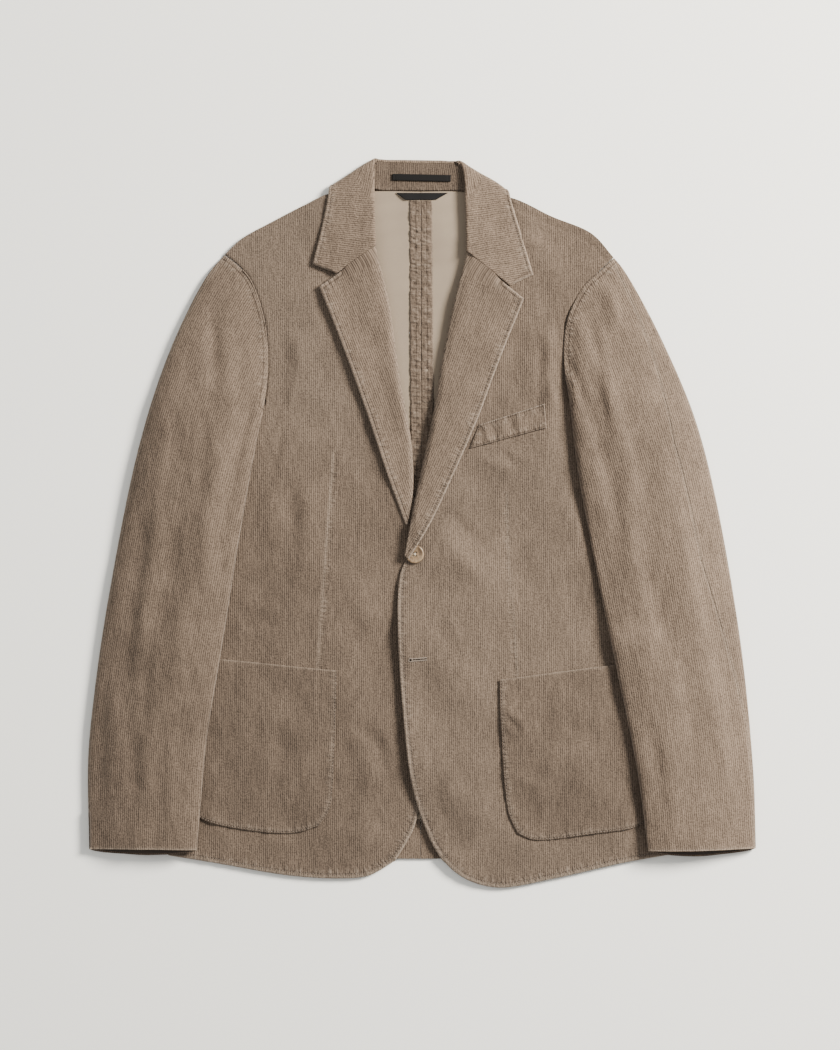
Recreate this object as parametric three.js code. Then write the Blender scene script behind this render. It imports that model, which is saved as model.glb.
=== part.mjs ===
// Corduroy jacket, laid flat on its back with the fronts up and a sleeve down each side.
// Millimetres, X to the wearer's left, Y towards the collar, Z up from the surface it lies on.
// The origin is the middle of the whole outline, on that surface.
import * as THREE from "three";

// Driving dimensions: cloth walls and the spaces between layers
const shellCloth = 1.8;
const frontCloth = 2.2;
const facedCloth = 2.4;
const collarCloth = 2.0;
const standCloth = 1.6;
const pocketCloth = 2.0;
const stripCloth = 1.0;
const ribbonCloth = 0.8;
const layerGap = 0.45;
const seamInset = 0.25;
const sleeveSeamInset = 0.4;
const armholeInset = 0.7;
const rollJoinEnd = 346;
// How the layers lie
const frontRise = 3.0;
const pocketBulge = 1.2;
const buttonSpace = 3.1;
const hemTurnUp = 1.2;
const lapelCrown = 2.4;
const lapelRollInset = 3.4;
const neckLift = 2.5;
const sleeveEdge = 5.0;
// How square a sleeve's ring is over its top and along its underside
const topRoundness = 2.4;
const undersideRoundness = 4.5;
const cuffLipDrop = 6.5;
// Fastenings
const buttonDiameter = 20;
const buttonThickness = 2.6;

// Rows of numbers with named columns
const table = (...names) => (rows) =>
  rows.map((values) => Object.fromEntries(names.map((name, i) => [name, values[i]])));
const outline = table("x", "y");

// The wearer's left half, as it lies. Outlines run upwards, or from the centre to the side.
const leftHalf = {
  side: 1,
  rollStart: -35,
  frontEdge: outline([
    [20, -361], [8, -340], [-10, -287], [-20, -214], [-26.5, -112], [-25, -59], [-19, -35],
  ]),
  rollLine: outline([[-19, -35], [-8, 24], [11, 113], [21, 173], [35, 241], [48, 292]]),
  lapelRoll: outline([[-19, -35], [-8, 24], [11, 113], [21, 173], [35, 241], [48, 291.5]]),
  neckEdge: outline([[48, 292], [58, 318], [66, 350]]),
  hem: outline([
    [20, -361], [37, -377], [55, -387], [84, -393], [143, -383], [218, -366], [275, -356],
  ]),
  backHem: outline([[-1.3, -362], [140, -361], [275, -356]]),
  backCentre: outline([[-1.3, -362], [-1.3, 358]]),
  sideSeam: outline([[275, -356], [250, 98]]),
  underarm: outline([[250, 98], [195, 108], [172, 119], [159, 131]]),
  sleeveSeam: outline([[159, 131], [153, 173], [156, 219], [174, 256], [190, 271], [207, 287]]),
  shoulder: outline([[66, 350], [93, 352], [141, 331], [183, 313], [207, 287]]),
  backTop: outline([[-1.3, 358], [45, 358], [93, 352], [141, 331], [183, 313], [207, 287]]),
  sleeveInner: outline([[159, 131], [167, 62], [183, -28], [206, -142], [231, -264], [243, -352]]),
  sleeveOuter: outline([
    [207, 287], [218, 273], [260, 195], [300, 95], [340, -104], [357, -264], [360, -350],
  ]),
  cuff: outline([[243, -352], [292, -351.5], [360, -350]]),
  lapelEdge: outline([[-14, -38], [9, 0], [33, 51], [60, 113], [83, 175], [110, 242]]),
  pocketInner: outline([[103, -334], [93, -312], [85, -224], [83, -168]]),
  pocketBottom: outline([[103, -334], [120, -341], [182, -335], [236, -325], [249, -312]]),
  pocketOuter: outline([[249, -312], [252, -230], [249, -148]]),
  pocketTop: outline([[83, -168], [208, -152], [249, -148]]),
};

const rightHalf = {
  side: -1,
  rollStart: 35,
  frontEdge: outline([
    [-29, -364], [-16, -343], [-7, -324], [8, -240], [10, -150], [9, -60], [2, 0], [-8, 35],
  ]),
  rollLine: outline([[-8, 35], [-11, 84], [-24, 159], [-36, 241], [-50, 298]]),
  lapelRoll: outline([[-16, 5], [-11.5, 22], [-9.5, 38], [-11, 84], [-24, 159], [-36, 241], [-50, 297.5]]),
  neckEdge: outline([[-50, 298], [-62, 322], [-70, 352]]),
  hem: outline([[-29, -364], [-58, -380], [-89, -383], [-142, -380], [-225, -366], [-274, -358]]),
  backHem: outline([[-1.3, -362], [-140, -361], [-274, -358]]),
  backCentre: outline([[-1.3, -362], [-1.3, 358]]),
  sideSeam: outline([[-274, -358], [-250, 98]]),
  underarm: outline([[-250, 98], [-205, 106], [-182, 116], [-170, 128]]),
  sleeveSeam: outline([
    [-170, 128], [-166, 166], [-168, 208], [-175, 239], [-186, 265], [-201, 281], [-213, 290],
  ]),
  shoulder: outline([[-70, 352], [-98, 356], [-126, 344], [-159, 327], [-195, 307], [-213, 290]]),
  backTop: outline([
    [-1.3, 358], [-50, 358.5], [-98, 356], [-126, 344], [-159, 327], [-195, 307], [-213, 290],
  ]),
  sleeveInner: outline([
    [-170, 128], [-179, 84], [-196, -11], [-217, -143], [-231, -228], [-238, -302], [-242, -351],
  ]),
  sleeveOuter: outline([
    [-213, 290], [-232, 267], [-272, 186], [-305, 84], [-340, -91], [-354, -188], [-360, -253],
    [-359, -351],
  ]),
  cuff: outline([[-242, -351], [-300, -350], [-359, -351]]),
  lapelEdge: outline([[-21, 5], [-35, 45], [-59, 117], [-82, 181], [-93, 210], [-111, 255]]),
  pocketInner: outline([[-111, -326], [-99, -306], [-94, -248], [-91, -158]]),
  pocketBottom: outline([[-111, -326], [-142, -334], [-237, -319], [-250, -306]]),
  pocketOuter: outline([[-250, -306], [-254, -226], [-251, -144]]),
  pocketTop: outline([[-91, -158], [-217, -146], [-251, -144]]),
};

// Half the width of the body between the sleeves, where the fronts rise off the back
const bodyWidths = table("y", "half")([
  [-390, 262], [-264, 246], [-83, 212], [62, 180], [131, 165], [173, 157], [236, 165], [290, 212],
]);

// Long soft folds of the fronts: a ridge, or a trough where the height is negative
const frontFolds = table("x1", "y1", "x2", "y2", "width", "height")([
  [138, 210, 130, 60, 26, 2.4],
  [122, 190, 118, 90, 18, -1.2],
  [-135, 205, -150, 60, 26, 2.0],
  [60, -60, 96, -150, 24, 1.4],
  [-70, -170, -105, -60, 28, 1.6],
  [-40, -260, -70, -190, 24, 1.4],
  [50, -300, 62, -190, 22, 1.2],
]);

// A sleeve's height along its length, from the armhole to the cuff
const sleeveHeights = table("share", "height")([
  [0, 4.6], [0.05, 11], [0.14, 17], [0.35, 19], [0.6, 17], [0.88, 14.5], [1, 13],
]);

// Folds along each sleeve, at shares of its length and of its width from the inner edge
const sleeveFolds = {
  left: table("from", "to", "acrossFrom", "acrossTo", "width", "height")([
    [0.02, 0.3, 0.55, 0.42, 13, 2.6],
    [0.05, 0.34, 0.3, 0.24, 11, -2.4],
    [0.3, 0.78, 0.66, 0.7, 14, 2.2],
    [0.42, 0.86, 0.45, 0.5, 13, -1.8],
    [0.6, 0.98, 0.22, 0.26, 12, 1.8],
  ]),
  right: table("from", "to", "acrossFrom", "acrossTo", "width", "height")([
    [0.1, 0.4, 0.2, 0.12, 12, -2.6],
    [0.2, 0.7, 0.3, 0.36, 14, 2.6],
    [0.3, 0.72, 0.58, 0.52, 13, -1.8],
    [0.5, 0.96, 0.7, 0.74, 14, 2.0],
    [0.66, 0.98, 0.4, 0.34, 12, -1.6],
  ]),
};

// The hindarm seam, as a share of the sleeve's width from the inner edge
const hindarmSeams = {
  left: table("share", "across")([
    [0, 0.97], [0.16, 0.9], [0.3, 0.8], [0.5, 0.79], [0.66, 0.88], [0.8, 0.97], [1, 0.985],
  ]),
  right: table("share", "across")([[0, 0.985], [1, 0.985]]),
};

// The collar, a section a row from the wearer's right notch, behind the neck, to the left notch:
// the inner fold, then the outer edge, at the middle of the cloth
const collarSections = table("ix", "iy", "iz", "ox", "oy", "oz")([
  [-50.6, 299, 12.6, -118, 279, 8.8],
  [-52, 330, 12.8, -108, 320, 9.0],
  [-52.5, 362, 12.4, -103, 343, 9.2],
  [-52.5, 381, 11.2, -101, 354, 8.8],
  [-52, 390.5, 8.6, -100.3, 360.5, 7.0],
  [-50.5, 393.5, 4.4, -99.5, 363, 4.0],
  [-47.5, 392.5, 1.5, -95, 359.5, 1.2],
  [-40, 391.5, 1.0, -74, 350, 1.0],
  [-20, 391.2, 1.0, -30, 348, 1.0],
  [5, 390.8, 1.0, 5, 348, 1.0],
  [22, 390.5, 1.0, 34, 348, 1.0],
  [30, 390, 1.0, 68, 350, 1.0],
  [36.5, 390.5, 1.5, 87, 355.5, 1.2],
  [40, 391, 4.4, 92.5, 359, 4.0],
  [43, 388, 8.6, 94, 357, 7.0],
  [46, 375, 11.2, 95.5, 350, 8.8],
  [47.5, 350, 12.4, 99, 338, 9.2],
  [48.5, 320, 12.8, 106, 315, 9.0],
  [48.6, 292.6, 12.6, 120, 268, 8.8],
]);
// The inner fold turns under towards the stand: along the section, and towards the stand
const collarFold = table("along", "under")([[2.2, 2.8], [0.4, 2.3], [-0.3, 1.1], [1.0, 0.15], [5, 0]]);
const collarNotch = {
  start: { x: 3.5, y: -16.4 },
  end: { x: -1.5, y: -20.2 },
  across: 2 / 3,
  reach: 0.14,
};

// The stand inside the collar: the neck seam, then the fold
const standSections = table("nx", "ny", "nz", "fx", "fy", "fz")([
  [-71, 306, 9.4, -58, 306, 9.5],
  [-71, 335, 9.4, -58, 338, 9.5],
  [-67, 354, 8.8, -57, 367, 8.4],
  [-56, 360.5, 6.2, -51, 381, 6.0],
  [-40, 359.6, 3.9, -39, 387, 3.7],
  [-5, 359.2, 3.8, -5, 387, 3.6],
  [32, 359.2, 3.9, 27, 386, 3.7],
  [48, 359, 6.2, 40, 378, 6.0],
  [61, 352, 8.8, 53, 358, 8.4],
  [65, 335, 9.4, 54, 335, 9.5],
  [65, 302, 9.4, 54, 302, 9.5],
]);

const trimGap = 0.3;
const neckTab = { left: -28, right: 28, top: 356.5, lowLeft: -18, lowRight: 15, bottom: 349 };
const hangerLoop = { left: -32, right: 31, top: 377, bottom: 370, tilt: -1.4 };
const breastWelt = outline([[51, 80.5], [134, 103], [132, 129], [60.8, 106]]);
const upperButton = { x: -8, y: -33 };
const lowerButton = { x: -7, y: -146 };
const seamStrip = table("y", "centre", "left", "right")([
  [348, -1.3, 11, -13.5],
  [200, -1, 12, -13],
  [40, 0, 13.5, -12],
  [-300, 0, 13.5, -12],
]);

const shareOf = (value, from, to) => THREE.MathUtils.clamp((value - from) / (to - from), 0, 1);
const ramp = (value, from, to) => {
  const share = shareOf(value, from, to);
  return share * share * (3 - 2 * share);
};
const mix = THREE.MathUtils.lerp;

// A column of a table at a place between its rows
function readTable(rows, key, value, column) {
  const next = rows.findIndex((row) => row[key] >= value);
  if (next <= 0) return (next === 0 ? rows[0] : rows[rows.length - 1])[column];
  const [low, high] = [rows[next - 1], rows[next]];
  return mix(low[column], high[column], (value - low[key]) / (high[key] - low[key]));
}

// A smooth curve through an outline's points
function curveThrough(rows) {
  const points = rows.map(({ x, y }) => new THREE.Vector3(x, y, 0));
  const curve = new THREE.CatmullRomCurve3(points, false, "centripetal");
  return (share) => curve.getPointAt(share);
}

// One edge made of stretches, each ending at its share of the edge, with a corner between them
function jointedEdge(stretches) {
  const curves = stretches.map(([end, rows]) => ({ end, at: curveThrough(rows) }));
  return (share) => {
    const index = curves.findIndex(({ end }) => share <= end + 1e-9);
    const start = index === 0 ? 0 : curves[index - 1].end;
    return curves[index].at(shareOf(share, start, curves[index].end));
  };
}

// A panel's plan between four edges: straight from the near to the far one, and bowed at its ends
function panelPlan({ near, far, low, high }, across, along, reach = 3) {
  const rows = [];
  for (let j = 0; j <= along; j++) {
    const v = j / along;
    const row = [];
    for (let i = 0; i <= across; i++) {
      const u = i / across;
      const point = near(v).lerp(far(v), u);
      const lowBow = low(u).sub(near(0).lerp(far(0), u)).multiplyScalar((1 - v) ** reach);
      const highBow = high(u).sub(near(1).lerp(far(1), u)).multiplyScalar(v ** reach);
      row.push(point.add(lowBow).add(highBow));
    }
    rows.push(row);
  }
  return insetBorder(rows, seamInset);
}

// Draws a plan's border in, so that neighbours stay apart at the seam
function insetBorder(rows, distance) {
  const toward = (from, to) => to.clone().sub(from).setLength(distance);
  const last = rows.length - 1;
  const end = rows[0].length - 1;
  const moved = rows.map((row) => row.map((point) => point.clone()));
  rows.forEach((row, j) => {
    moved[j][0].add(toward(row[0], row[1]));
    moved[j][end].add(toward(row[end], row[end - 1]));
  });
  for (let i = 0; i <= end; i++) {
    moved[0][i].add(toward(rows[0][i], rows[1][i]));
    moved[last][i].add(toward(rows[last][i], rows[last - 1][i]));
  }
  return moved;
}

// A closed wall between two grids of points of the same size
function wallBetween(outer, inner) {
  const rowCount = outer.length;
  const columnCount = outer[0].length;
  const positions = [...outer.flat(), ...inner.flat()].flatMap((point) => point.toArray());
  const innerStart = rowCount * columnCount;
  const indices = [];
  const quad = (a, b, c, d) => indices.push(a, b, c, a, c, d);
  const at = (j, i) => j * columnCount + i;
  for (let j = 0; j < rowCount - 1; j++) {
    for (let i = 0; i < columnCount - 1; i++) {
      const corners = [at(j, i), at(j, i + 1), at(j + 1, i + 1), at(j + 1, i)];
      quad(...corners);
      quad(...corners.map((index) => index + innerStart).reverse());
    }
  }
  const border = [];
  for (let i = 0; i < columnCount - 1; i++) border.push(at(0, i));
  for (let j = 0; j < rowCount - 1; j++) border.push(at(j, columnCount - 1));
  for (let i = columnCount - 1; i > 0; i--) border.push(at(rowCount - 1, i));
  for (let j = rowCount - 1; j > 0; j--) border.push(at(j, 0));
  border.forEach((a, n) => {
    const b = border[(n + 1) % border.length];
    quad(b, a, a + innerStart, b + innerStart);
  });
  return facingOut(positions, indices);
}

// Turns the faces over if they enclose a negative volume
function facingOut(positions, indices) {
  const corner = (index) => new THREE.Vector3().fromArray(positions, index * 3);
  let volume = 0;
  for (let n = 0; n < indices.length; n += 3) {
    const [a, b, c] = [corner(indices[n]), corner(indices[n + 1]), corner(indices[n + 2])];
    volume += a.dot(b.cross(c));
  }
  const geometry = new THREE.BufferGeometry();
  geometry.setAttribute("position", new THREE.Float32BufferAttribute(positions, 3));
  geometry.setIndex(volume < 0 ? indices.reverse() : indices);
  geometry.computeVertexNormals();
  return geometry;
}

// A panel that lies flat: its underside follows one height, its top is a cloth above
function lyingPanel(plan, bottomAt, cloth) {
  const lift = (rise) => plan.map((row) => row.map(({ x, y }) =>
    new THREE.Vector3(x, y, bottomAt(x, y) + rise(x, y))));
  return wallBetween(lift(cloth), lift(() => 0));
}

// Moves a grid of points out along its own normals
function movedOut(grid, distance) {
  const last = grid.length - 1;
  const end = grid[0].length - 1;
  return grid.map((row, j) => row.map((point, i) => {
    const along = grid[Math.min(j + 1, last)][i].clone().sub(grid[Math.max(j - 1, 0)][i]);
    const across = row[Math.min(i + 1, end)].clone().sub(row[Math.max(i - 1, 0)]);
    const normal = across.cross(along).normalize();
    return point.clone().addScaledVector(normal, distance);
  }));
}

// Heights of the layers, from the surface up
const liftOfBack = (x, y) => neckLift * ramp(y, 262, 322) * (1 - ramp(Math.abs(x), 108, 140));
const clothOfBack = (x, y) => shellCloth + hemTurnUp * (1 - ramp(y, -345, -318));
const topOfBack = (x, y) => liftOfBack(x, y) + clothOfBack(x, y);

function foldHeight(x, y) {
  let height = 0;
  for (const fold of frontFolds) {
    const run = new THREE.Vector2(fold.x2 - fold.x1, fold.y2 - fold.y1);
    const from = new THREE.Vector2(x - fold.x1, y - fold.y1);
    const share = THREE.MathUtils.clamp(from.dot(run) / run.lengthSq(), 0, 1);
    const away = from.distanceTo(run.multiplyScalar(share)) / fold.width;
    height += fold.height * Math.exp(-away * away);
  }
  return height;
}

// The shoulder's slope, from its top beside the neck
const shoulderLine = { x: 93, y: 352, slope: 0.57 };

// How far a front has risen off the back: not at its seams, and fully in its middle
function riseShare(x, y) {
  const half = readTable(bodyWidths, "y", y, "half");
  const shoulderY = shoulderLine.y - Math.max(0, Math.abs(x) - shoulderLine.x) * shoulderLine.slope;
  const fromSide = ramp(half - Math.abs(x), 0, 80);
  return fromSide * ramp(y, -372, -290) * ramp(shoulderY - y, 0, 110);
}

function bottomOfRightFront(x, y) {
  const nearCentre = 1 - 0.5 * ramp(x, -80, 0);
  const rise = frontRise * riseShare(x, y) * nearCentre + foldHeight(x, y) * riseShare(x, y);
  return topOfBack(x, y) + layerGap + rise;
}
const topOfRightFront = (x, y) => bottomOfRightFront(x, y) + frontCloth;

function bottomOfLeftFront(x, y) {
  const rise = (frontRise + foldHeight(x, y)) * riseShare(x, y);
  const alone = topOfBack(x, y) + layerGap + rise;
  const space = buttonSpace * ramp(y, -330, -220) * (1 - ramp(y, -122, -72));
  const over = topOfRightFront(x, y) + layerGap + space;
  return mix(over, alone, ramp(x, 24, 85));
}
const topOfLeftFront = (x, y) => bottomOfLeftFront(x, y) + frontCloth;

const frontOf = {
  left: { bottom: bottomOfLeftFront, top: topOfLeftFront },
  right: { bottom: bottomOfRightFront, top: topOfRightFront },
};
const underPocketTop = (x, y) => pocketBulge * ramp(y, -340, -250) * (1 - ramp(y, -230, -150));

// The body's underarm line and side line, and how far past them the sleeve still lies on them
const underarmLine = { innerX: 160, innerY: 131, outerX: 250, outerY: 98, margin: 14 };
const sideLine = { x: 250, y: 98, slope: 0.0552, margin: 19 };
// How gently a sleeve's underside and its top come down to the floor beside the body
const undersideSlope = 34;
const topSlope = 62;
const sleeveGap = 0.6;

// What a sleeve lies on: the floor outside the body, and the stack of panels inside its edge
function liftOfSleeve(name, x, y, slope) {
  const { innerX, innerY, outerX, outerY } = underarmLine;
  const aboveArm = y - mix(innerY, outerY, shareOf(Math.abs(x), innerX, outerX));
  const sideX = sideLine.x + (sideLine.y - y) * sideLine.slope;
  const below = 1 - ramp(aboveArm, underarmLine.margin, underarmLine.margin + slope);
  const inside = 1 - ramp(Math.abs(x) - sideX, sideLine.margin, sideLine.margin + slope);
  const pocket = (pocketCloth + pocketBulge + layerGap) * (1 - ramp(y, -132, -100));
  const stack = frontOf[name].top(x, Math.min(y, innerY)) + pocket + sleeveGap;
  return stack * below * inside;
}

// A point of a sleeve's ring at a share of its length and of its width, `depth` inside its face
function sleeveRing(name, plan, share, across, upper, depth) {
  const width = plan(share, 0).distanceTo(plan(share, 1));
  const point = plan(share, mix(0.5, across, 1 - (2 * depth) / width));
  const roundness = upper ? topRoundness : undersideRoundness;
  const fullness = Math.max(0, 1 - Math.abs(2 * across - 1) ** roundness) ** (1 / roundness);
  const under = liftOfSleeve(name, point.x, point.y, undersideSlope);
  const height = readTable(sleeveHeights, "share", share, "height");
  const edge = Math.min(sleeveEdge, height * 0.45);
  if (upper) {
    const over = liftOfSleeve(name, point.x, point.y, topSlope);
    const fold = sleeveFoldHeight(name, share, across, width) * fullness;
    point.z = mix(under, over, fullness) + edge + (height - edge - depth) * fullness + fold;
  } else {
    point.z = under + edge - (edge - depth) * fullness;
    point.y -= cuffLipDrop * fullness * ramp(share, 0.965, 1);
  }
  return point;
}

function sleeveFoldHeight(name, share, across, width) {
  let height = 0;
  for (const fold of sleeveFolds[name]) {
    const run = shareOf(share, fold.from, fold.to);
    const centre = mix(fold.acrossFrom, fold.acrossTo, run);
    const away = ((across - centre) * width) / fold.width;
    const starts = ramp(share, fold.from - 0.08, fold.from + 0.02);
    const ends = 1 - ramp(share, fold.to - 0.02, fold.to + 0.08);
    height += fold.height * starts * ends * Math.exp(-away * away);
  }
  return height;
}

// Where a ring has its points, as shares of the way over the top piece, and of the width beneath
const topSpread = [0, 0.02, 0.07, 0.15, 0.26, 0.38, 0.5, 0.62, 0.74, 0.85, 0.94, 1];
const undersideSpread = [0.96, 0.85, 0.72, 0.59, 0.46, 0.33, 0.2, 0.08, 0];

// One piece of a sleeve between its two seams, each drawn in a little from its neighbour
function sleevePiece(name, sleeve, isTop) {
  const along = 19;
  const near = curveThrough(sleeve.sleeveInner);
  const far = curveThrough(sleeve.sleeveOuter);
  const armhole = curveThrough(sleeve.sleeveSeam);
  const cuff = curveThrough(sleeve.cuff);
  const plan = (v, u) => {
    const point = near(v).lerp(far(v), u);
    const armBow = armhole(u).sub(near(0).lerp(far(0), u)).multiplyScalar((1 - v) ** 6);
    const cuffBow = cuff(u).sub(near(1).lerp(far(1), u)).multiplyScalar(v ** 6);
    return point.add(armBow).add(cuffBow);
  };
  const grid = (depth) => Array.from({ length: along + 1 }, (_, j) => {
    const share = (j / along) ** 1.25;
    const seam = readTable(hindarmSeams[name], "share", share, "across");
    const ring = (across, upper) => sleeveRing(name, plan, share, across, upper, depth);
    if (isTop) return topSpread.map((part) => ring(part * seam, true));
    const overTop = [seam, mix(seam, 1, 0.5)].map((across) => ring(across, true));
    return [...overTop, ...[1, ...undersideSpread].map((across) => ring(across, false))];
  });
  const drawnIn = (rows) => {
    const moved = insetBorder(rows, sleeveSeamInset);
    const away = (i) => rows[1][i].clone().sub(rows[0][i]).setLength(armholeInset);
    moved[0].forEach((point, i) => point.add(away(i)));
    return moved;
  };
  return wallBetween(drawnIn(grid(0)), drawnIn(grid(shellCloth)));
}

function frontPanel(name, half) {
  const { side, rollStart } = half;
  const edge = jointedEdge([[11 / 24, half.frontEdge], [22 / 24, half.rollLine], [1, half.neckEdge]]);
  const near = (share) => {
    const point = edge(share);
    const rolled = ramp(point.y, rollStart - 25, rollStart + 5) * (1 - ramp(point.y, 310, rollJoinEnd));
    point.x += side * lapelRollInset * rolled;
    return point;
  };
  const far = jointedEdge([[0.5, half.sideSeam], [16 / 24, half.underarm], [1, half.sleeveSeam]]);
  const low = curveThrough(half.hem);
  const high = curveThrough(half.shoulder);
  const plan = panelPlan({ near, far, low, high }, 12, 24);
  return lyingPanel(plan, frontOf[name].bottom, () => frontCloth);
}

function backPanel(half) {
  const near = curveThrough(half.backCentre);
  const far = jointedEdge([[0.5, half.sideSeam], [16 / 24, half.underarm], [1, half.sleeveSeam]]);
  const low = curveThrough(half.backHem);
  const high = curveThrough(half.backTop);
  const plan = panelPlan({ near, far, low, high }, 8, 24);
  return lyingPanel(plan, liftOfBack, clothOfBack);
}

// A lapel's rolled edge, where it lies flat and where it curls down over the front's edge:
// how far in from the roll, and how far up from the lapel's or from the front's underside
const rollColumns = table("flatIn", "flatUp", "curledIn", "curledUp");
const outerRoll = rollColumns([[0.3, 0.5, 0.4, 0.2], [0, 1.4, 0, 2.6], [0.8, 2.2, 1.2, 4.9]]);
const innerRoll = rollColumns([[1.2, 0, 2.8, 0.2], [2.2, 0, 2.8, 2.2], [3.4, 0, 3.4, 2.65]]);
const rollWidth = 5.2;
const fullLapelWidth = 14;

// The facing of a front, turned out along the roll line
function lapel(name, half) {
  const roll = curveThrough(half.lapelRoll);
  const edge = curveThrough(half.lapelEdge);
  const along = 14;
  const flatColumns = 4;
  const front = frontOf[name];
  const face = (rollProfile, cloth) => Array.from({ length: along + 1 }, (_, j) => {
    const [from, to] = [roll(j / along), edge(j / along)];
    const width = from.distanceTo(to);
    const scale = Math.min(1, width / fullLapelWidth);
    const curl = ramp(from.y, half.rollStart + 28, half.rollStart + 48);
    const overButton = name === "left" ? 1 - ramp(from.y, -12, 30) : 0;
    const at = (distance) => from.clone().lerp(to, distance / width);
    const rest = (point, distance) => {
      const share = distance / width;
      const crown = ramp(share, 0, 0.14) * (1 - ramp(share, 0.2, 0.9)) * ramp(width, 10, 40);
      const lifted = (buttonThickness + 0.8) * overButton;
      return front.top(point.x, point.y) + layerGap + lifted + lapelCrown * crown;
    };
    const rolled = rollProfile.map(({ flatIn, flatUp, curledIn, curledUp }) => {
      const distance = mix(flatIn, curledIn, curl) * scale;
      const point = at(distance);
      const curledHeight = front.bottom(point.x, point.y) + curledUp;
      point.z = mix(rest(point, distance) + flatUp, curledHeight, curl);
      return point;
    });
    const flat = Array.from({ length: flatColumns + 1 }, (_, i) => {
      const distance = mix(rollWidth * scale, width, i / flatColumns);
      const point = at(distance);
      point.z = rest(point, distance) + cloth;
      return point;
    });
    return [...rolled, ...flat];
  });
  return wallBetween(face(outerRoll, facedCloth), face(innerRoll, 0));
}

// Rows of a table of sections, smoothed along the strip. Each gives a section's two ends.
function sectionsAlong(sections, first, second, along) {
  const curveOf = (prefix) => new THREE.CatmullRomCurve3(
    sections.map((row) => new THREE.Vector3(row[`${prefix}x`], row[`${prefix}y`], row[`${prefix}z`])),
    false, "centripetal");
  const [firstCurve, secondCurve] = [curveOf(first), curveOf(second)];
  return Array.from({ length: along + 1 }, (_, j) =>
    [firstCurve.getPoint(j / along), secondCurve.getPoint(j / along)]);
}

function collarFall() {
  const along = Math.round((collarSections.length - 1) * 1.5);
  const flat = 6;
  const rows = sectionsAlong(collarSections, "i", "o", along).map(([from, to], j) => {
    const run = to.clone().sub(from);
    const fromStart = 1 - ramp(j / along, 0, collarNotch.reach);
    const fromEnd = ramp(j / along, 1 - collarNotch.reach, 1);
    const row = [];
    const place = (share) => {
      const tent = Math.min(share / collarNotch.across, (1 - share) / (1 - collarNotch.across));
      const point = from.clone().addScaledVector(run, share);
      point.x += tent * (collarNotch.start.x * fromStart + collarNotch.end.x * fromEnd);
      point.y += tent * (collarNotch.start.y * fromStart + collarNotch.end.y * fromEnd);
      row.push(point);
    };
    collarFold.forEach(({ along: distance }) => place(distance / run.length()));
    for (let i = 1; i <= flat; i++) place(mix(5 / run.length(), 1, i / flat));
    return row;
  });
  // The stand's side of the strip, from the rows before the inner fold is turned under
  const straight = rows.map((row) => row.slice(collarFold.length - 1));
  const onStandSide = movedOut(straight, 1);
  rows.forEach((row, j) => {
    const towardStand = onStandSide[j][0].clone().sub(straight[j][0]);
    collarFold.forEach(({ under }, i) => row[i].addScaledVector(towardStand, under));
  });
  const face = (distance) => movedOut(rows, distance).map((row) => row.map((point) => {
    point.z = Math.max(point.z, 0);
    return point;
  }));
  return wallBetween(face(collarCloth / 2), face(-collarCloth / 2));
}

function collarStand() {
  const along = (standSections.length - 1) * 2;
  const across = 2;
  const rows = sectionsAlong(standSections, "n", "f", along).map(([from, to]) =>
    Array.from({ length: across + 1 }, (_, i) => from.clone().lerp(to, i / across)));
  return wallBetween(movedOut(rows, standCloth / 2), movedOut(rows, -standCloth / 2));
}

function patchPocket(name, half) {
  const near = curveThrough(half.pocketInner);
  const far = curveThrough(half.pocketOuter);
  const low = curveThrough(half.pocketBottom);
  const high = curveThrough(half.pocketTop);
  const plan = panelPlan({ near, far, low, high }, 10, 9, 2);
  const bottom = (x, y) => frontOf[name].top(x, y) + layerGap + underPocketTop(x, y);
  return lyingPanel(plan, bottom, () => pocketCloth);
}

// A flat trim between four corners, listed round from the lower left, on the layer below
function trimPlate(corners, across, along, bottomAt, cloth) {
  const [a, b, c, d] = corners.map(({ x, y }) => new THREE.Vector3(x, y, 0));
  const plan = Array.from({ length: along + 1 }, (_, j) => {
    const [left, right] = [a.clone().lerp(d, j / along), b.clone().lerp(c, j / along)];
    return Array.from({ length: across + 1 }, (_, i) => left.clone().lerp(right, i / across));
  });
  return lyingPanel(plan, bottomAt, () => cloth);
}

function backSeamStrip(side) {
  const along = 26;
  const [bottom, top] = [seamStrip[seamStrip.length - 1].y, seamStrip[0].y];
  const rising = [...seamStrip].reverse();
  const plan = Array.from({ length: along + 1 }, (_, j) => {
    const y = mix(bottom, top, j / along);
    const centre = readTable(rising, "y", y, "centre");
    const outer = readTable(rising, "y", y, side > 0 ? "left" : "right");
    return [0, 1].map((share) => new THREE.Vector3(mix(centre + side * seamInset, outer, share), y, 0));
  });
  return lyingPanel(plan, (x, y) => topOfBack(x, y) + trimGap, () => stripCloth);
}

function neckTabPiece() {
  const { left, right, top, lowLeft, lowRight, bottom } = neckTab;
  const corners = outline([[lowLeft, bottom], [lowRight, bottom], [right, top], [left, top]]);
  return trimPlate(corners, 6, 2, (x, y) => topOfBack(x, y) + trimGap, stripCloth);
}

function hangerLoopPiece() {
  const { left, right, top, bottom, tilt } = hangerLoop;
  const corners = outline([[left, bottom], [right, bottom + tilt], [right, top + tilt], [left, top]]);
  const standTop = standSections[5].fz + standCloth / 2;
  return trimPlate(corners, 6, 1, () => standTop + 0.55, ribbonCloth);
}

function breastWeltPiece() {
  return trimPlate(breastWelt, 6, 3, (x, y) => topOfLeftFront(x, y) + layerGap, pocketCloth);
}

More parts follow.
